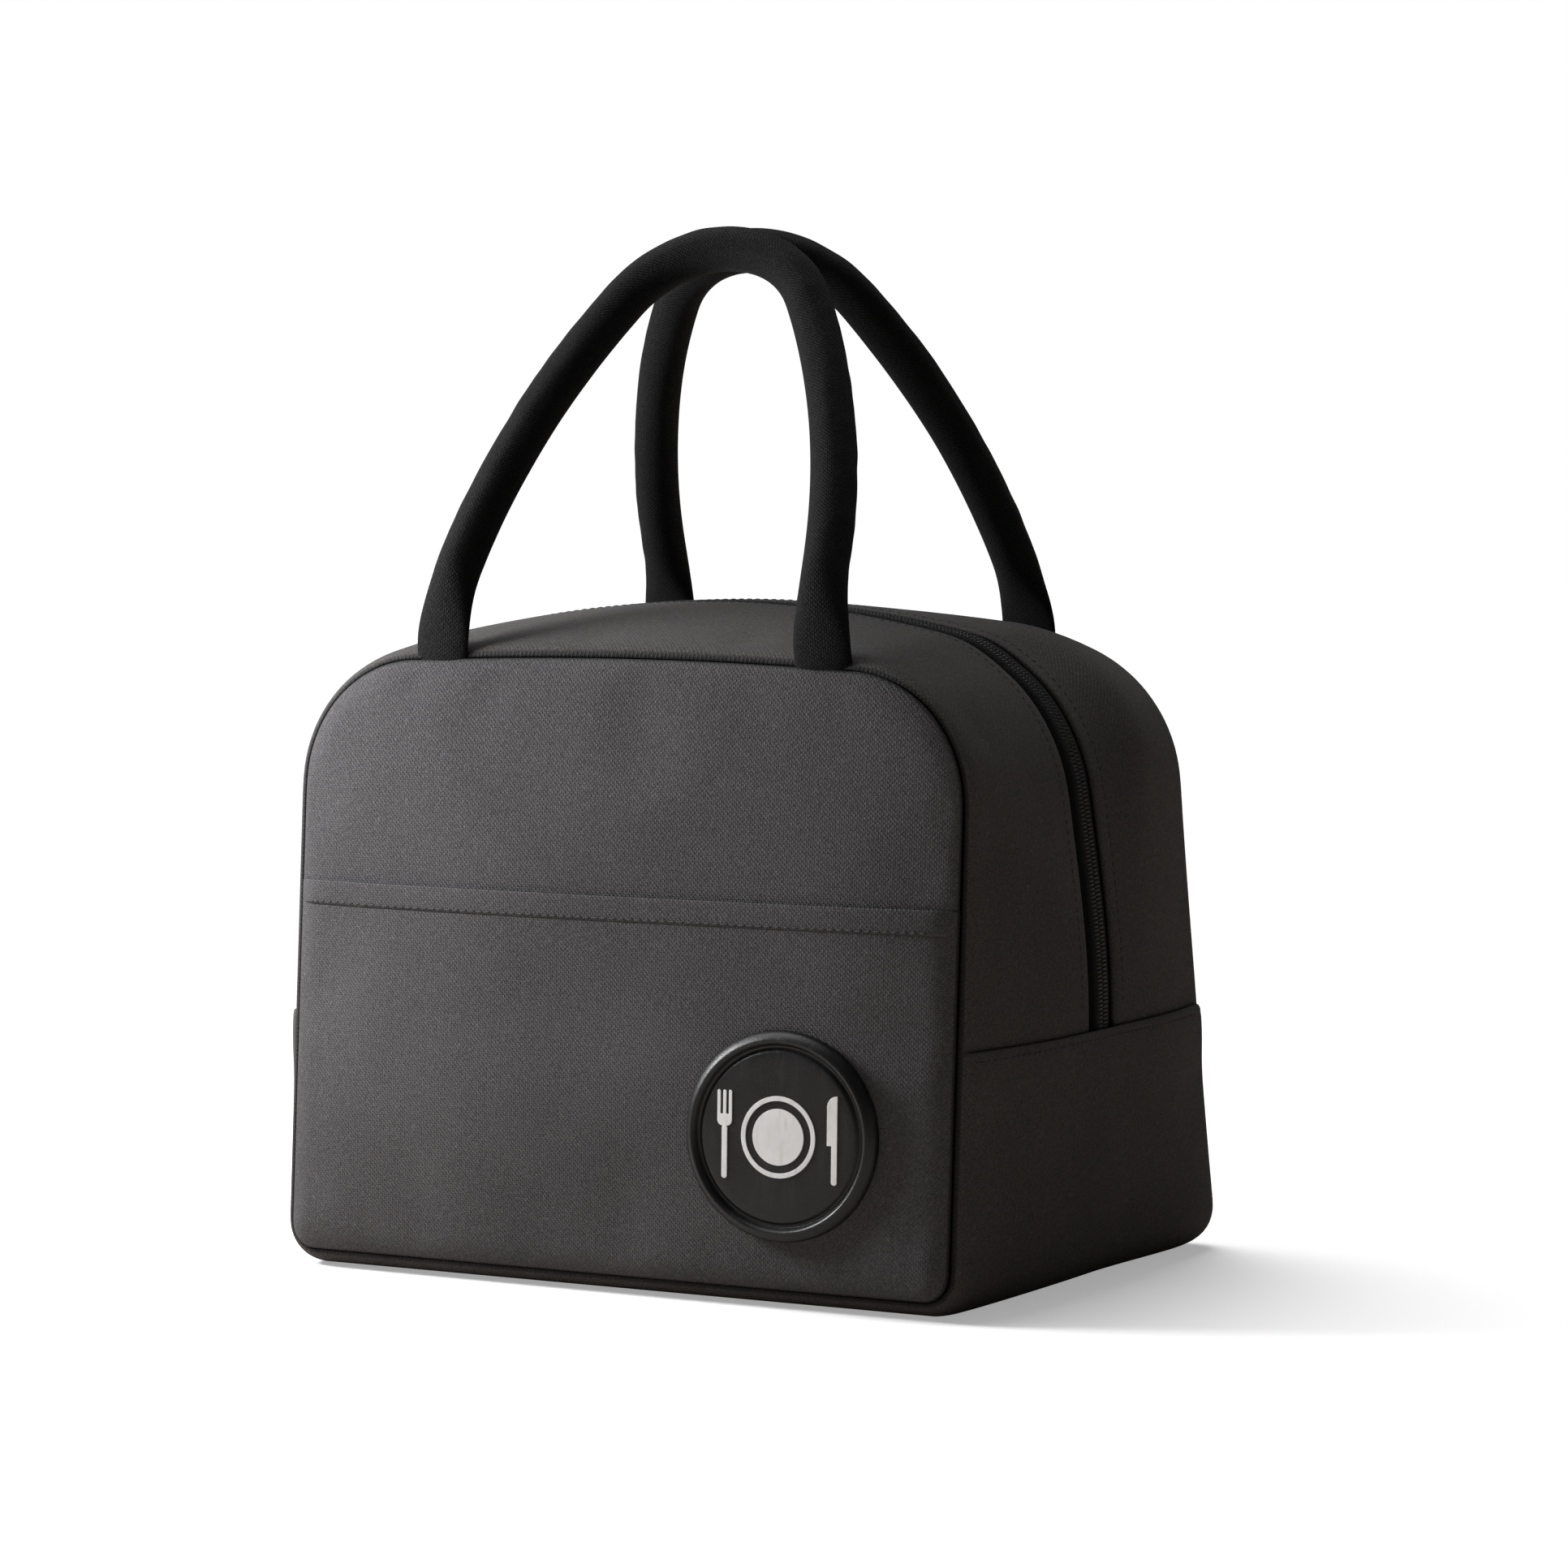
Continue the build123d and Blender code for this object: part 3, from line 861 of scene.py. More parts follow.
# %% Cut and fold the outer cloths
SEAM_TURN = [(-0.6 * MM, 0.9 * MM), (-0.2 * MM, 2.3 * MM), (2.4 * MM, 4.2 * MM), (6.3 * MM, 6.9 * MM)]
ZIP_FOLD = [(0.5 * MM, 0.5 * MM), (0.6 * MM, 1.3 * MM), (0.2 * MM, 2.1 * MM), (-6.0 * MM, 2.4 * MM)]
LAP_FOLD = [(0.5 * MM, 0.4 * MM), (0.4 * MM, 1.1 * MM), (-5.0 * MM, 1.5 * MM)]
# The room round the zipper's lower ends, to each side and below the side seam.
ZIP_ROOM = (18 * MM, 14 * MM)
# The base cloth is folded over along its top edge, but not where it runs into the panels' seams.
LAP_HALF = 74.5 * MM
PIECE_NODES = {
    "panel": ("{0}_panel_lower_{1}", "{0}_panel_upper_{1}"),
    "gusset": ("{0}_gusset_{1}",),
}


def at_seam(bm):
    distance = bm.verts.layers.float["from_seam"]
    return lambda vert: vert[distance] < 0.02 * MM


def at_zip(vert):
    return abs(vert.co.y) < ZIP_HALF + 0.02 * MM


def is_side(middle, side):
    return (middle.y < 0) == (side == "front")


def cut_panel(side, margin=0.0):
    def keep(part, middle, low, near):
        return part == PANEL and is_side(middle, side) and near >= margin
    return cut_out(keep)


def cut_gusset(side, margin=0.0, zip_margin=0.0, low_end=SIDE_SEAM):
    def keep(part, middle, low, near):
        clear = abs(middle.y) > ZIP_HALF + zip_margin and near >= margin
        return part != PANEL and is_side(middle, side) and clear and low > low_end - 1 * MM
    return cut_out(keep)


def cut_base(margin=0.0):
    """The inner layers, which have a margin, also leave room for the lower ends of the zipper."""
    def keep(part, middle, low, near):
        by_zip = margin > 0 and abs(middle.y) < ZIP_ROOM[0] and middle.z > SIDE_SEAM - ZIP_ROOM[1]
        return part == BASE and near >= margin and not by_zip
    return cut_out(keep)


def lift_lap(bm):
    """The base cloth's top edge lies over the cloth above it."""
    distance = bm.verts.layers.float["from_seam"]
    height = bm.verts.layers.float["rest_z"]
    for vert in bm.verts:
        share = ease(vert[height], 52 * MM, 70 * MM) * ease(vert[distance], 0, 3 * MM)
        vert.co += vert.normal * SKIN * 1.15 * share
    return bm


def finish_wall(piece, nodes, side=None):
    """The last steps of every soft piece: what it stands for, and how it moves."""
    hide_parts(*nodes)
    if side:
        bend(piece, side)
    else:
        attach(piece, "root")


def piece_nodes(kind, side, layer):
    return [pattern.format(side, layer) for pattern in PIECE_NODES[kind]]


BASE_NODE = "base_gusset_{}"
for side in ("front", "rear"):
    cloth = turn_in(cut_panel(side), SEAM_TURN)
    piece = thicken(new_piece(side + "_panel_cloth", cloth, WALL_CLOTH), SKIN)
    finish_wall(piece, piece_nodes("panel", side, "outer"), side=side)
    cloth = cut_gusset(side, low_end=SIDE_SEAM - 8 * MM)
    cloth = turn_in(turn_in(cloth, SEAM_TURN, at_seam(cloth)), ZIP_FOLD, at_zip)
    piece = thicken(new_piece(side + "_gusset_cloth", cloth, SHADED_SIDE_CLOTH), SKIN)
    finish_wall(piece, piece_nodes("gusset", side, "outer"), side=side)
cloth = lift_lap(cut_base())
cloth = turn_in(cloth, SEAM_TURN, at_seam(cloth))
cloth = turn_in(cloth, LAP_FOLD, lambda vert: vert.co.z > SIDE_SEAM - 1 * MM and abs(vert.co.y) < LAP_HALF)
base_cloth = thicken(new_piece("base_gusset_cloth", cloth, SHADED_SIDE_CLOTH), SKIN)
finish_wall(base_cloth, [BASE_NODE.format("outer")])

# %% [markdown]
# ## Foam and lining
# Under the cloth lies a sheet of foam, and a foil film is bonded to its inner face. Both stop short
# of the seams, where only the cloths and a binding tape are sewn through. They hardly show until the
# mouth is open, so they need no rounding.

# %% Lay the foam and the lining
CRUMPLE_SIZE = 14 * MM
CRUMPLE_DEPTH = 0.5 * MM


def crumple(bm, amount):
    """Sculpts the film a little, so that it doesn't look rolled flat."""
    for vert in bm.verts:
        if not vert.is_boundary:
            vert.co += vert.normal * amount * noise.noise(vert.co / CRUMPLE_SIZE)
    return bm


def lay_inner(name, cut, nodes, side=None):
    """One piece's foam and lining. The cut gives the surface, clear of the seams by a distance."""
    surface = shift_surface(cut(4.5 * MM), -SKIN - 0.1 * MM)
    piece = thicken(new_piece(name + "_foam_pad", surface, FOAM_GREY), FOAM - 0.2 * MM, 0)
    finish_wall(piece, nodes("foam"), side=side)
    surface = crumple(shift_surface(cut(6.0 * MM), -SKIN - FOAM), CRUMPLE_DEPTH)
    piece = thicken(new_piece(name + "_lining_film", surface, FOIL), LINING, 1)
    finish_wall(piece, nodes("lining"), side=side)


for side in ("front", "rear"):
    panel_nodes = lambda layer: piece_nodes("panel", side, layer)
    gusset_nodes = lambda layer: piece_nodes("gusset", side, layer)
    lay_inner(side + "_panel", lambda m: cut_panel(side, m), panel_nodes, side)
    lay_inner(side + "_gusset", lambda m: cut_gusset(side, m, 5 * MM), gusset_nodes, side)
lay_inner("base_gusset", cut_base, lambda layer: [BASE_NODE.format(layer)])

# %% [markdown]
# ## Front pocket
# The slip pocket is one more layer of the wall cloth over the lower front, caught in the side and
# bottom seams. Its top edge is free and bows out a little. It is cut from the same panel surface and
# lifted by its own thickness, so it can't sink into the panel. A folded hem closes its top edge.

# %% Cut the pocket and its hem
HEM_LINE = POCKET_TOP - HEM_HEIGHT
POCKET_CLOTH = 0.7 * MM
POCKET_LIFT = POCKET_CLOTH + 0.3 * MM
POCKET_SLACK = 0.8 * MM
HEM_FOLD = [(0.35 * MM, 0.15 * MM), (0.35 * MM, 0.8 * MM), (-5.5 * MM, 1.2 * MM)]


def bisect(bm, height, keep_below):
    everything = bm.verts[:] + bm.edges[:] + bm.faces[:]
    bmesh.ops.bisect_plane(bm, geom=everything, dist=1e-6, plane_co=(0, 0, height), plane_no=(0, 0, 1),
                           clear_outer=keep_below, clear_inner=not keep_below)


def raise_pocket(bm, lift):
    """Lifts the pocket off the panel. It tapers into the seams and stands off at its free edge."""
    bm.normal_update()
    distance = bm.verts.layers.float["from_seam"]
    for vert in bm.verts:
        caught = 0.1 + 0.9 * ease(vert[distance], 0, 7 * MM)
        across = max(1 - (vert.co.x / HALF_WIDTH) ** 2, 0)
        slack = POCKET_SLACK * across * ease(vert.co.z, 70 * MM, POCKET_TOP)
        vert.co += vert.normal * (lift + slack) * caught
    return bm


def at_pocket_top(vert):
    return vert.co.z > POCKET_TOP - 1.5 * MM


cloth = cut_panel("front")
bisect(cloth, POCKET_TOP - 0.3 * MM, True)
pocket = thicken(new_piece("front_pocket_cloth", raise_pocket(cloth, POCKET_LIFT), WALL_CLOTH), POCKET_CLOTH)
finish_wall(pocket, ["pocket_lower", "pocket_upper"], side="front")
cloth = cut_panel("front")
bisect(cloth, POCKET_TOP, True)
bisect(cloth, HEM_LINE, False)
# Painted shadow: the hem's folded top edge takes the seam's painted shade, a dark line along the pocket's
# top where the fold throws its shade.
cloth = turn_in(raise_pocket(cloth, POCKET_LIFT + HEM), HEM_FOLD, at_pocket_top, paint_fold_shade=True)
hem = thicken(new_piece("front_pocket_hem", cloth, WALL_CLOTH), HEM)
finish_wall(hem, ["pocket_hem"], side="front")
print("pocket:", round(pocket.dimensions.x / MM), "x", round(pocket.dimensions.z / MM), "mm")

# %% [markdown]
# ## Strips that follow a seam
# Tapes, bindings and handles are long shapes with one cross-section. An edge extrusion pulls a row
# of points from place to place along a path. The helper also writes the thread direction in metres,
# so the weave stays the same size round every bend.

# %% Pull a row of points along a path


def pull_along(rows, long_step, cross_step, closed_row=False, closed_path=False):
    """Makes a surface from equal rows of points, one after another."""
    bm = bmesh.new()
    place = bm.verts.layers.int.new("place")
    turn = bm.verts.layers.int.new("turn")
    start = [bm.verts.new(point) for point in rows[0]]
    for index, vert in enumerate(start):
        vert[place] = index
    ring = start + start[:1] if closed_row else start
    edges = [bm.edges.new(pair) for pair in zip(ring, ring[1:])]
    rest = rows[1:] + rows[:1] if closed_path else rows[1:]
    for step, points in enumerate(rest, start=1):
        made = bmesh.ops.extrude_edge_only(bm, edges=edges)["geom"]
        edges = new_row(made, points, place)
        for vert in {v for edge in edges for v in edge.verts}:
            vert[turn] = step
    threads = bm.loops.layers.uv.new("threads")
    for face in bm.faces:
        places = [loop.vert[place] for loop in face.loops]
        wraps = max(places) - min(places) > 1
        for loop in face.loops:
            cross = len(start) if wraps and loop.vert[place] == 0 else loop.vert[place]
            loop[threads].uv = (cross * cross_step, loop.vert[turn] * long_step)
    bmesh.ops.remove_doubles(bm, verts=bm.verts, dist=0.001 * MM)
    bmesh.ops.recalc_face_normals(bm, faces=bm.faces)
    return bm


def to_rear(bm):
    """Turns a front piece into the rear one."""
    bmesh.ops.scale(bm, vec=(1, -1, 1), verts=bm.verts)
    bmesh.ops.reverse_faces(bm, faces=bm.faces)
    return bm


def both_sides(make):
    """Makes a piece for the front, and its mirror image for the rear."""
    return [("front", make()), ("rear", to_rear(make()))]


def seam_loop():
    """The seam's points (x, z) in order round the outline."""
    bm = front_grid()
    border = {v for edge in bm.edges if edge.is_boundary for v in edge.verts}
    around = sorted(border, key=lambda v: math.atan2(v.co.x, PANEL_TOP / 2 - v.co.z) % math.tau)
    points = [(v.co.x, v.co.z) for v in around]
    bm.free()
    return points


# %% [markdown]
# ## Binding tapes
# Inside the bag, a folded tape covers the raw edges of each seam. It stands into the corner between
# the panel and the gusset at 45 degrees.

# %% Bind the inner seams
# The folded tape across, as (distance from the seam, distance from the fold's middle).
BINDING_EDGE = [(5.2, 2.1), (9.0, 2.1), (10.4, 1.6), (11.0, 0.6)]
BINDING_ROW = BINDING_EDGE + [(reach, -half) for reach, half in reversed(BINDING_EDGE)]


def make_binding():
    rows = []
    for x, z in seam_loop():
        out = outwards(x, z)
        out = Vector((out.x, 0, out.y))
        seam = Vector((x, -half_depth(z) + SEAM_DIP, z + top_bow(x, z)))
        inward = (Vector((0, 1, 0)) - out).normalized()
        over = (Vector((0, 1, 0)) + out).normalized()
        rows.append([seam + inward * a * MM + over * b * MM for a, b in BINDING_ROW])
    return pull_along(rows, 7 * MM, 3 * MM, closed_path=True)


for side, strip in both_sides(make_binding):
    spread_foot(strip)
    piece = thicken(new_piece(side + "_seam_binding", strip, BINDING_TAPE), 0.6 * MM)
    nodes = [f"{side}_binding_{half}" for half in ("lower", "upper")]
    finish_wall(piece, nodes, side=side)
print("bindings made")

# %% [markdown]
# ## Zipper
# The zipper runs up one side, over the top and down the other. Two woven tapes lie under the folded
# edges of the cloth, and a nylon coil is sewn to each. Real coils are one long spring of monofilament.
# From outside only its crowns show, so each tooth is one small bevelled bar, set at half steps.

# %% Measure the zipper's path
ZIP_START = SIDE_SEAM - 8 * MM
TOOTH_PITCH = 0.6 * MM


def zip_surface(x, z, y, depth):
    """A point under the gusset's surface, for a point of the outline and a depth."""
    out = outwards(x, z)
    point = gusset_point(x, z, half_depth(z) - SEAM_DIP - abs(y))
    return Vector((point.x - out.x * depth, y, point.z - out.y * depth))


def outline_point(way):
    """The seam's point at a way from the middle of the top, to the left or the right."""
    reach = HALF_WIDTH - CORNER_RADIUS
    radius = CORNER_RADIUS - SEAM_DIP
    side = math.copysign(1, way)
    rest = abs(way)
    if rest <= reach:
        return way, PANEL_TOP - SEAM_DIP
    if rest <= reach + radius * math.pi / 2:
        turn = (rest - reach) / radius
        return side * (reach + radius * math.sin(turn)), PANEL_TOP - CORNER_RADIUS + radius * math.cos(turn)
    drop = rest - reach - radius * math.pi / 2
    return side * (HALF_WIDTH - SEAM_DIP), PANEL_TOP - CORNER_RADIUS - drop


def zip_path(pitch, low):
    """Outline points that are one pitch apart along the zipper itself."""
    reach = HALF_WIDTH - CORNER_RADIUS
    half = reach + (CORNER_RADIUS - SEAM_DIP) * math.pi / 2 + PANEL_TOP - CORNER_RADIUS - low
    fine = [outline_point(-half + 2 * half * i / 3000) for i in range(3001)]
    path = [fine[0]]
    before = zip_surface(*fine[0], 0, 0)
    way = 0.0
    for x, z in fine[1:]:
        here = zip_surface(x, z, 0, 0)
        way += (here - before).length
        before = here
        if way >= pitch * len(path):
            path.append((x, z))
    return path


tooth_places = zip_path(TOOTH_PITCH, ZIP_START + 2 * MM)
print("teeth on each side:", len(tooth_places))

# %% Sew the tapes
# The front tape across, as (y, depth under the surface).
TAPE_ROW = [
    (-15.0, 3.1), (-11.0, 3.1), (-8.0, 3.0), (-6.3, 2.4), (-5.5, 0.9), (-4.8, 0.25), (-3.6, 0.1), (0.1, 0.1),
]


def make_tape():
    path = zip_path(3 * MM, ZIP_START)
    rows = [[zip_surface(x, z, y * MM, depth * MM) for y, depth in TAPE_ROW] for x, z in path]
    strip = pull_along(rows, 3 * MM, 2.5 * MM)
    if strip.faces[0].normal.x > 0:
        bmesh.ops.reverse_faces(strip, faces=strip.faces)
    return strip


for side, strip in both_sides(make_tape):
    piece = thicken(new_piece(side + "_zip_tape_cloth", strip, ZIP_TAPE), TAPE)
    finish_wall(piece, [side + "_zip_tape"], side=side)
print("tapes made")

# %% Set the teeth
TOOTH_SIZE = (0.8 * MM, 3.1 * MM, 0.8 * MM)
TOOTH_MIDDLE = 1.62 * MM
TOOTH_DEPTH = 0.42 * MM


def make_teeth(offset):
    """One coil: bars that cross the middle a little, so that the two coils mesh."""
    bm = bmesh.new()
    for x, z in tooth_places[offset::2]:
        out = outwards(x, z)
        up = Vector((out.x, 0, out.y))
        across = Vector((0, 1, 0))
        turned = axes(across.cross(up), across, up)
        place = Matrix.Translation(zip_surface(x, z, -TOOTH_MIDDLE, TOOTH_DEPTH))
        size = Matrix.Diagonal((*TOOTH_SIZE, 1))
        bmesh.ops.create_cube(bm, size=1, matrix=place @ turned @ size)
    round_edges(bm, bm.edges[:], 0.2 * MM)
    return bm


for side, teeth in (("front", make_teeth(0)), ("rear", to_rear(make_teeth(1)))):
    piece = new_piece(side + "_zip_teeth", teeth, NYLON)
    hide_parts(side + "_zip_coil")
    bend(piece, side)
print("teeth made")

# %% [markdown]
# ## Carry handles
# Each handle is a padded tube of dark cloth. It stands in a leaning arch over the mouth, and the two
# arches touch at the top. Where it is sewn into the top seam the tube is pressed flat. The arch is
# three arcs that run smoothly into each other, and the foot is a short curve down into the seam.

# %% Describe the arch
SPAN = 62 * MM
CROOK_RADIUS = 36 * MM
TUBE_RADIUS = 6.75 * MM
FOOT_HALF_WIDTH = 9.0 * MM
FOOT_HALF_THICKNESS = 2.1 * MM
FOOT_LENGTH = 25 * MM
SEWN_LENGTH = 9 * MM
swing = next(joint for joint in frame["joints"] if joint["name"] == "front_handle_swing")
hinge = Vector(swing["pos_m"])
APEX = Vector((0, -7.2 * MM, 301 * MM))
rise = (APEX - hinge).length
ARCH_UP = (APEX - hinge).normalized()
ARCH_OUT = Vector((1, 0, 0)).cross(ARCH_UP)
LEG_RADIUS = (SPAN**2 + (rise - CROOK_RADIUS) ** 2 - CROOK_RADIUS**2) / (2 * (SPAN - CROOK_RADIUS))
LEG_TURN = math.atan2(rise - CROOK_RADIUS, LEG_RADIUS - SPAN)
LEG_LENGTH = LEG_RADIUS * LEG_TURN
ARCH_LENGTH = 2 * LEG_LENGTH + CROOK_RADIUS * (math.pi - 2 * LEG_TURN)


def arch_line(way):
    """A point on the left half of the arch, at a way from the hinge line, for way up to the apex."""
    if way <= LEG_LENGTH:
        turn = way / LEG_RADIUS
        across, up = SPAN - LEG_RADIUS + LEG_RADIUS * math.cos(turn), LEG_RADIUS * math.sin(turn)
    else:
        turn = LEG_TURN + (way - LEG_LENGTH) / CROOK_RADIUS
        across, up = CROOK_RADIUS * math.cos(turn), rise - CROOK_RADIUS + CROOK_RADIUS * math.sin(turn)
    return hinge + Vector((-across, 0, 0)) + ARCH_UP * up


def foot_line(way):
    """The foot's curve, from inside the top seam up to where the arch begins."""
    share = (way + SEWN_LENGTH) / (FOOT_LENGTH + SEWN_LENGTH)
    end = arch_line(FOOT_LENGTH)
    seam = Vector((-SPAN - 1.5 * MM, -half_depth(PANEL_TOP) + 3.9 * MM, PANEL_TOP - 4 * MM))
    out_of_seam = seam + Vector((0.6 * MM, -3.9 * MM, 9 * MM))
    into_arch = end - (arch_line(FOOT_LENGTH + MM) - end) * 10
    pulls = (seam, out_of_seam, into_arch, end)
    weights = ((1 - share) ** 3, 3 * share * (1 - share) ** 2, 3 * share**2 * (1 - share), share**3)
    return sum((point * weight for point, weight in zip(pulls, weights)), Vector())


def handle_line(way):
    """The whole centre line, from the left seam to the right one."""
    half = ARCH_LENGTH / 2
    left = min(way, ARCH_LENGTH - way)
    point = foot_line(left) if left < FOOT_LENGTH else arch_line(left)
    return point if way <= half else Vector((-point.x, point.y, point.z))


print("handle length, mm:", round(ARCH_LENGTH / MM))

# %% Pull the handle tubes
TUBE_POINTS = 28
HANDLE_STEP = 2.5 * MM
TUBE_WALL = 1.4 * MM
# The sleeve's own seam is a fine groove along the outer side of the arch.
SEAM_GROOVE = 0.35 * MM
SEAM_ANGLE = 0.9 * math.pi
WRINKLE_DEPTH = 0.3 * MM


def wrinkle(way, angle, stiff):
    """Small creases on the outer side of the arch, and slow dents along the tube."""
    slow = noise.noise(Vector((way / (34 * MM), 1.7 * math.cos(angle), 1.7 * math.sin(angle))))
    quick = noise.noise(Vector((way / (6 * MM), 1.1 * math.cos(angle), 7.3 + 1.1 * math.sin(angle))))
    outer = 0.5 - 0.5 * math.cos(angle)
    return WRINKLE_DEPTH * stiff * (slow + quick * outer)


def make_handle():
    count = round((ARCH_LENGTH + 2 * SEWN_LENGTH) / HANDLE_STEP)
    rows = []
    for step in range(count + 1):
        way = -SEWN_LENGTH + (ARCH_LENGTH + 2 * SEWN_LENGTH) * step / count
        ahead = (handle_line(way + 0.2 * MM) - handle_line(way - 0.2 * MM)).normalized()
        face = (ARCH_OUT - ahead * ahead.dot(ARCH_OUT)).normalized()
        beside = ahead.cross(face)
        round_share = ease(min(way, ARCH_LENGTH - way), 0, FOOT_LENGTH)
        wide = FOOT_HALF_WIDTH + (TUBE_RADIUS - FOOT_HALF_WIDTH) * round_share
        thick = FOOT_HALF_THICKNESS + (TUBE_RADIUS - FOOT_HALF_THICKNESS) * round_share
        row = []
        for index in range(TUBE_POINTS):
            angle = math.tau * index / TUBE_POINTS
            seam = SEAM_GROOVE * round_share * math.exp(-(((angle - SEAM_ANGLE) / 0.12) ** 2))
            bump = wrinkle(way, angle, round_share) - seam
            offset = beside * (wide + bump) * math.cos(angle) + face * (thick + bump) * math.sin(angle)
            row.append(handle_line(way) + offset)
        rows.append(row)
    return pull_along(rows, HANDLE_STEP, math.tau * TUBE_RADIUS / TUBE_POINTS, closed_row=True)


for side, tube in both_sides(make_handle):
    piece = thicken(new_piece(side + "_handle_tube", tube, HANDLE_CLOTH), TUBE_WALL)
    parts = ("sleeve", "foot_left", "foot_right", "anchor_left", "anchor_right")
    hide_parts(*[f"{side}_handle_{part}" for part in parts])
    sign = 1 if side == "front" else -1
    low = Vector((0, hinge.y * sign, 184 * MM))
    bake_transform(piece, side + "_mouth", side + "_handle", start=low, end=low + Vector((0, 0, 18 * MM)))
print("handles made")

# %% [markdown]
# ## Badge
# A moulded rubber disc sits low on the pocket. It is a turned shape, so one row of points is spun
# round its middle: a soft outer rim, a groove, and a flat face. It is made
# lying flat, and then laid on the leaning pocket where the cloth really is.

# %% Turn the badge
# The badge from its middle to its back, as (radius, height).
BADGE_ROW = [
    (0, 2.5), (12.0, 2.5), (23.4, 2.5),
    (24.1, 2.4), (24.6, 1.9), (25.0, 1.6), (25.6, 1.6), (26.0, 2.1), (26.4, 3.1), (27.0, 3.55),
    (27.7, 3.5), (28.6, 2.8), (29.5, 1.9), (30.0, 0.9), (30.0, -1.0), (29.4, -1.5), (0, -1.5),
]
BADGE_FACE = 2.5 * MM
INK_THICKNESS = 0.35 * MM
badge_low, badge_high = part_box("badge_disc")
badge_aim = (badge_low + badge_high) / 2


def surface_of(piece):
    """A search tree that finds the nearest point of a finished piece."""
    points = [vert.co for vert in piece.data.vertices]
    return BVHTree.FromPolygons(points, [tuple(face.vertices) for face in piece.data.polygons])


def on_pocket(x, z):
    """Where a line straight into the bag meets the pocket, and the way that it faces."""
    place, normal, _, _ = pocket_surface.ray_cast(Vector((x, -0.2, z)), Vector((0, 1, 0)))
    return place, normal


pocket_surface = surface_of(pocket)
# The badge faces the mean way of the cloth at its middle and at four places near its rim.
NEAR_RIM = 24 * MM
offsets = ((0, 0), (NEAR_RIM, 0), (-NEAR_RIM, 0), (0, NEAR_RIM), (0, -NEAR_RIM))
spots = [on_pocket(badge_aim.x + across, badge_aim.z + up) for across, up in offsets]
badge_facing = sum((normal for _, normal in spots), Vector()).normalized()
badge_right = Vector((1, 0, 0))
badge_right = (badge_right - badge_facing * badge_right.dot(badge_facing)).normalized()
badge_frame = axes(badge_right, badge_facing.cross(badge_right), badge_facing)
badge_frame.translation = spots[0][0]


def turn_badge():
    bm = bmesh.new()
    row = [bm.verts.new((radius * MM, 0, height * MM)) for radius, height in BADGE_ROW]
    edges = [bm.edges.new(pair) for pair in zip(row, row[1:])]
    bmesh.ops.spin(bm, geom=row + edges, cent=(0, 0, 0), axis=(0, 0, 1), angle=math.tau, steps=72,
                   use_merge=True)
    bmesh.ops.remove_doubles(bm, verts=bm.verts, dist=0.005 * MM)
    bmesh.ops.recalc_face_normals(bm, faces=bm.faces)
    bmesh.ops.transform(bm, matrix=badge_frame, verts=bm.verts)
    return bm


badge = new_piece("badge_disc_moulded", turn_badge(), RUBBER)
modify(badge, "SUBSURF", levels=1, render_levels=1)
apply_modifiers(badge)
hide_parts("badge_disc")
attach(badge, "root")
print("badge diameter, mm:", round(badge.dimensions.x / MM))

# %% [markdown]
# ### The emblem
# A plain sign for a meal: a plate between a fork and a knife, printed in white. Print has a little
# height, so each shape is a thin plate with softened edges. The overlapping strokes of the fork differ
# in height by a hair, so that no two faces lie in one plane.

# %% Print the emblem


def ink_stroke(bm, x, y, width, height, extra=0.0, corners=None, corner=0.45):
    """A thin bar whose upright corners are rounded. Corners says which, as signs of x and y."""
    size = (width * MM, height * MM, INK_THICKNESS + extra * MM)
    middle = (x * MM, y * MM, BADGE_FACE + size[2] / 2 - 0.05 * MM)
    matrix = Matrix.Translation(middle) @ Matrix.Diagonal((*size, 1))
    made = bmesh.ops.create_cube(bm, size=1, matrix=matrix)["verts"]
    upright = []
    for edge in {edge for vert in made for edge in vert.link_edges}:
        way = edge.verts[0].co - edge.verts[1].co
        side = (edge.verts[0].co + edge.verts[1].co) / 2 - Vector(middle)
        chosen = corners is None or (math.copysign(1, side.x), math.copysign(1, side.y)) in corners
        if abs(way.z) > abs(way.x) + abs(way.y) and chosen:
            upright.append(edge)
    round_edges(bm, upright, min(width, height) * corner * MM, 5)


def ink_disc(bm, outer, inner):
    """A round print, or a ring where there is an inner radius."""
    base = BADGE_FACE - 0.05 * MM
    rims = []
    seat = Matrix.Translation((0, 0, base))
    for radius in filter(None, (outer, inner)):
        made = bmesh.ops.create_circle(bm, segments=72, radius=radius * MM, matrix=seat)
        rims.append([edge for edge in bm.edges if set(edge.verts) <= set(made["verts"])])
    if inner:
        faces = bmesh.ops.bridge_loops(bm, edges=rims[0] + rims[1])["faces"]
    else:
        faces = bmesh.ops.contextual_create(bm, geom=rims[0])["faces"]
    raised = bmesh.ops.extrude_face_region(bm, geom=faces, use_keep_orig=True)["geom"]
    points = [item for item in raised if isinstance(item, bmesh.types.BMVert)]
    bmesh.ops.translate(bm, vec=(0, 0, INK_THICKNESS), verts=points)


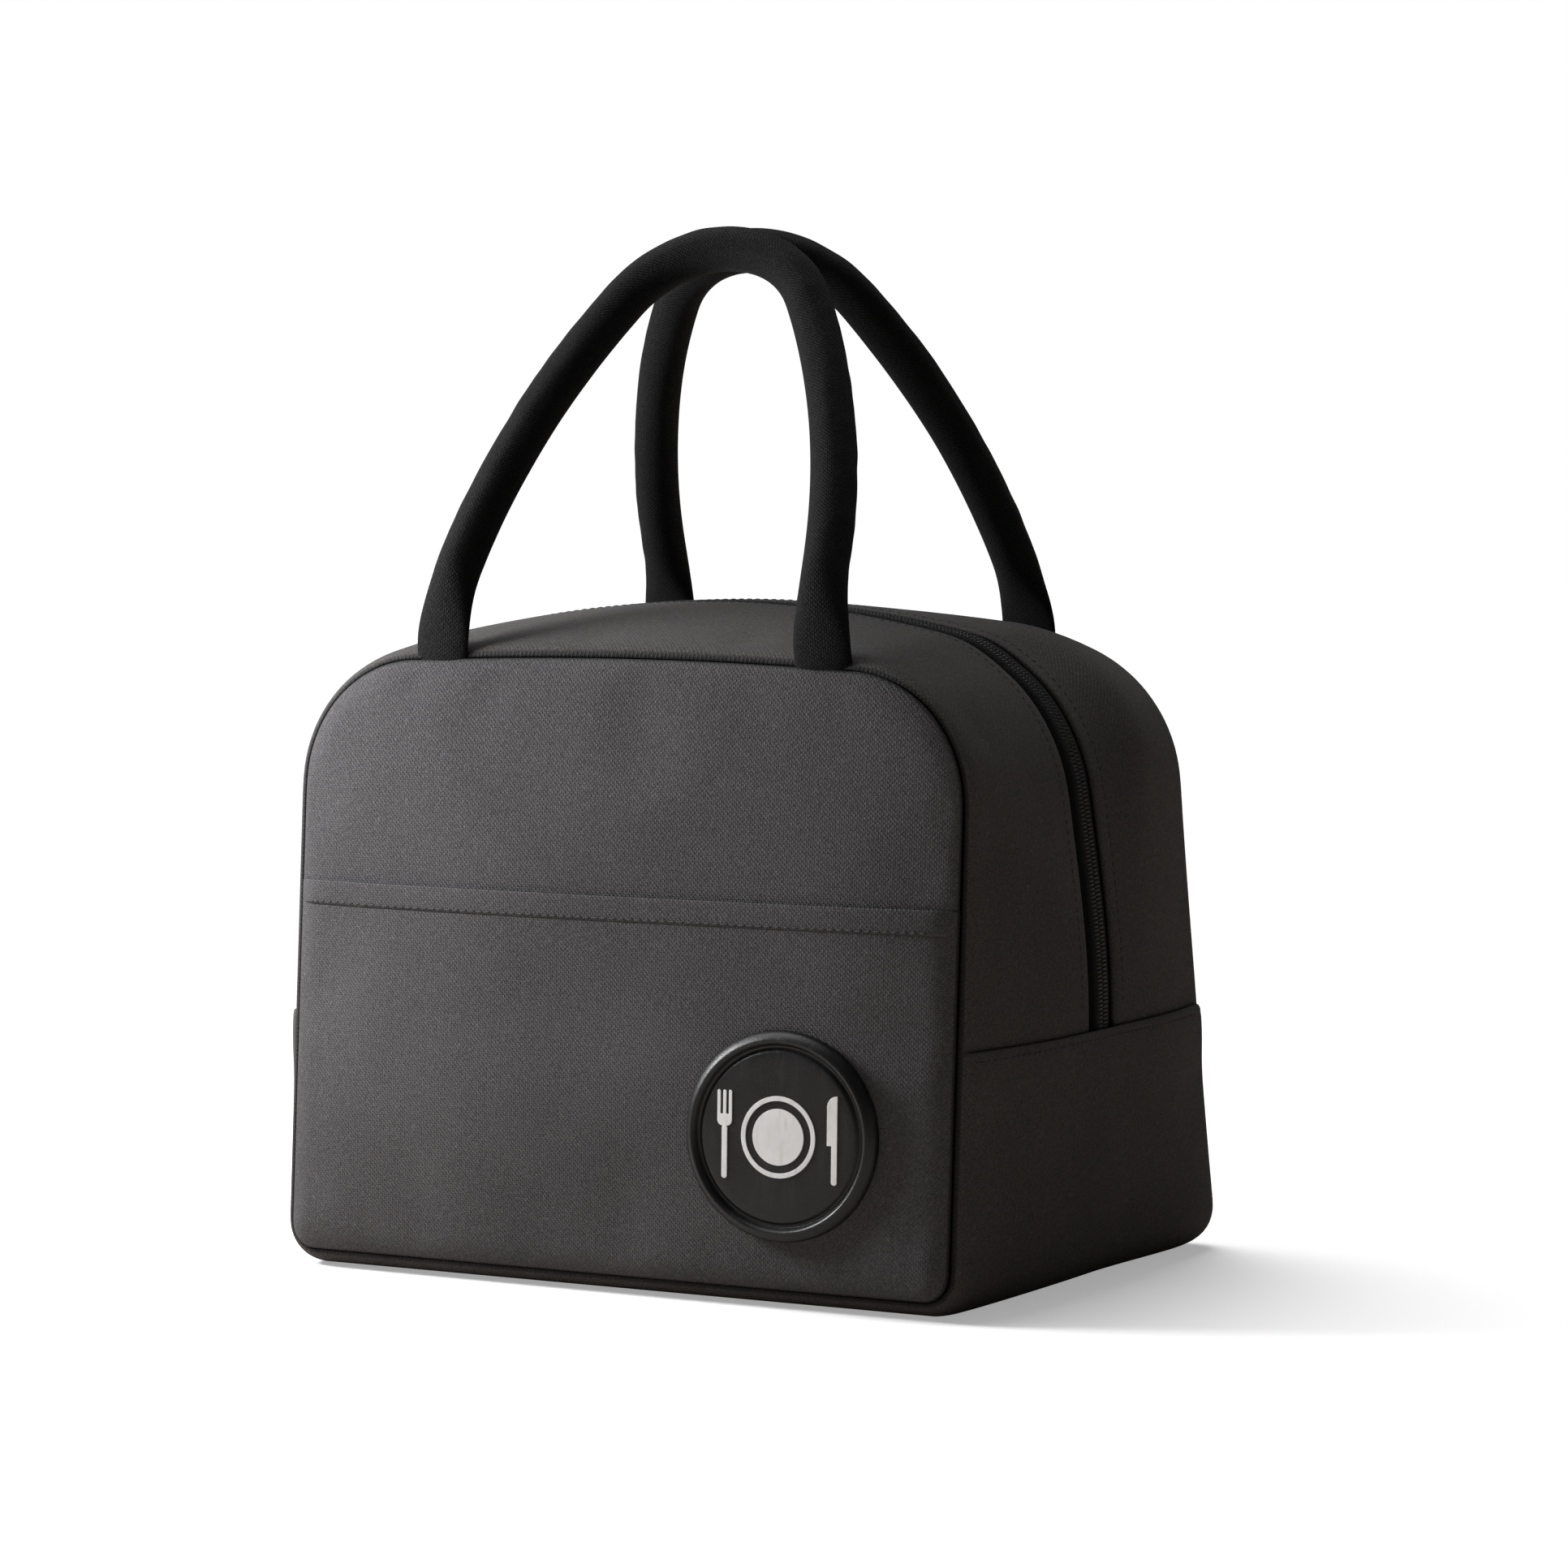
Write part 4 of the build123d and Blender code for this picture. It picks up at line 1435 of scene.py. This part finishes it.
def print_emblem():
    bm = bmesh.new()
    ink_disc(bm, 11.6, 10.2)
    ink_disc(bm, 8.0, None)
    for x in (-18.6, -16.8, -15.0):
        ink_stroke(bm, x, 8.6, 1.0, 7.8)
    ink_stroke(bm, -16.8, 4.0, 4.6, 3.4, 0.02, corners=((-1, -1), (1, -1)), corner=0.48)
    ink_stroke(bm, -16.8, -5.0, 1.7, 15.0, 0.04)
    ink_stroke(bm, 16.8, 5.5, 3.2, 14.0, corners=((-1, 1),), corner=0.95)
    ink_stroke(bm, 17.5, -6.0, 1.8, 13.0, 0.02)
    bmesh.ops.recalc_face_normals(bm, faces=bm.faces)
    bmesh.ops.transform(bm, matrix=badge_frame, verts=bm.verts)
    return bm


emblem = new_piece("badge_emblem_print", print_emblem(), INK, smooth=False)
modify(emblem, "BEVEL", width=0.08 * MM, segments=2, limit_method="ANGLE")
apply_modifiers(emblem)
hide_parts("badge_emblem")
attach(emblem, "root")
print("emblem faces:", len(emblem.data.polygons))

# %% [markdown]
# ## Stitching
# Dark thread holds the pocket's hem, both edges of the zipper and the two side seams. A lock stitch
# shows as a row of short raised dashes, so each one is a small stretched ball that is pressed into
# the cloth. Each is laid on the finished piece, so it stays on the surface where the cloth swells.

# %% Sew the stitch rows
STITCH_PITCH = 2.8 * MM
STITCH_SIZE = (1.05 * MM, 0.26 * MM, 0.2 * MM)
STITCH_LIFT = 0.03 * MM


def equal_steps(points, pitch):
    """Points one pitch apart along a line through the given points."""
    spaced = [points[0]]
    left = pitch
    for start, end in zip(points, points[1:]):
        length = (end - start).length
        while left <= length:
            spaced.append(start.lerp(end, left / length))
            left += pitch
        left -= length
    return spaced


def sew(name, line, cloth, body):
    """A row of stitches along a line, each at the nearest place on a piece."""
    surface = surface_of(cloth)
    laid = [surface.find_nearest(point)[:2] for point in equal_steps(line, STITCH_PITCH)]
    bm = bmesh.new()
    for (place, normal), (after, _) in zip(laid, laid[1:]):
        way = after - place
        way = (way - normal * way.dot(normal)).normalized()
        turned = axes(way, normal.cross(way), normal)
        size = Matrix.Diagonal((*STITCH_SIZE, 1))
        seat = Matrix.Translation(place + normal * STITCH_LIFT)
        bmesh.ops.create_uvsphere(bm, u_segments=6, v_segments=4, radius=1, matrix=seat @ turned @ size)
    piece = new_piece(name, bm, SEWING_THREAD)
    if body == "root":
        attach(piece, "root")
    else:
        bend(piece, body)
    return len(laid)


before_hem = -half_depth(HEM_LINE) - 8 * MM
line = [Vector((x * MM, before_hem, HEM_LINE + 1.1 * MM)) for x in range(-106, 107, 2)]
rows = [sew("pocket_hem_stitches", line, hem, "front")]
for side, sign in (("front", -1), ("rear", 1)):
    cloth = bpy.data.objects[side + "_gusset_cloth"]
    beside_zip = sign * (ZIP_HALF + 4.5 * MM)
    line = [zip_surface(x, z, beside_zip, -1 * MM) for x, z in zip_path(2 * MM, SIDE_SEAM + 2 * MM)]
    rows.append(sew(side + "_zip_stitches", line, cloth, side))
for name, sign in (("left", -1), ("right", 1)):
    x = sign * (HALF_WIDTH + SIDE_BULGE + 3 * MM)
    line = [Vector((x, y * MM, SIDE_SEAM - 2.2 * MM)) for y in range(-72, 73, 2)]
    rows.append(sew(name + "_side_seam_stitches", line, base_cloth, "root"))
print("stitches:", sum(rows))

# %% [markdown]
# ## Parts that keep their CAD shape
# The slider, its pull and the foam cores of the handles are already the right shape. They only get
# finishes.

# %% Paint the CAD parts
CAD_FINISHES = {
    "slider_body": PAINTED_METAL,
    "pull_loop": PAINTED_METAL,
    "pull_grip": PULL_RUBBER,
    "front_handle_core": CORE_FOAM,
    "rear_handle_core": CORE_FOAM,
}
for node, material in CAD_FINISHES.items():
    frame["nodes"][node].material_slots[0].material = material
print("painted:", ", ".join(CAD_FINISHES))

# %% [markdown]
# ## Studio
# A soft light close to the front left corner is brightest at the panel's upper left and leaves the
# right side in shade. A wide light from above draws the folded edges and the zipper. The pale floor
# and the backdrop look brighter to the camera than to the bag, because white all round would wash
# out the dark cloth from below. So each of them has one value for camera rays and one for the rest.

# %% Build the studio


def place_light(name, location, aim, energy, size, colour):
    data = bpy.data.lights.new(name, "AREA")
    data.energy = energy
    data.shape = "DISK"
    data.size = size
    data.color = colour
    light = bpy.data.objects.new(name, data)
    light.location = location
    light.visible_camera = False
    light.rotation_euler = (Vector(location) - Vector(aim)).to_track_quat("Z", "Y").to_euler()
    bpy.context.scene.collection.objects.link(light)


place_light("key_light", (-0.34, -0.2, 0.27), (0, -0.08, 0.12), 2.9, 0.16, (0.97, 0.98, 1.0))
sun_data = bpy.data.lights.new("sky_light", "SUN")
sun_data.energy = 2.3
sun_data.angle = math.radians(50)
sun = bpy.data.objects.new("sky_light", sun_data)
sun.rotation_euler = Vector((-0.4, 0.2, 0.92)).to_track_quat("Z", "Y").to_euler()
bpy.context.scene.collection.objects.link(sun)
bpy.context.scene.view_settings.view_transform = "Standard"


def camera_only(tree, seen, unseen):
    """A value for what the camera sees itself, and another for the light that comes off it."""
    ray = add_node(tree, "LightPath").outputs["Is Camera Ray"]
    return add_node(tree, "Mix", {0: ray, 2: unseen, 3: seen}, data_type="FLOAT").outputs[0]


world = bpy.data.worlds.new("studio")
bpy.context.scene.world = world
world.use_nodes = True
backdrop = world.node_tree.nodes["Background"]
backdrop.inputs["Color"].default_value = (1, 1, 1, 1)
world.node_tree.links.new(camera_only(world.node_tree, 1.0, 0.06), backdrop.inputs["Strength"])
floor_mesh = bmesh.new()
bmesh.ops.create_grid(floor_mesh, x_segments=1, y_segments=1, size=6)
floor_finish, tree, shader = new_material("studio_floor", Roughness=0.9, Specular_IOR_Level=0.1)
tones = [camera_only(tree, 1.0, bounce) for bounce in (0.55, 0.5, 0.46)]
grey = add_node(tree, "CombineColor", dict(enumerate(tones))).outputs[0]
tree.links.new(grey, shader.inputs["Base Color"])
shader.inputs["Emission Color"].default_value = (1, 1, 1, 1)
tree.links.new(camera_only(tree, 0.35, 0.0), shader.inputs["Emission Strength"])
floor = new_piece("studio_floor", floor_mesh, floor_finish)
print("studio ready")
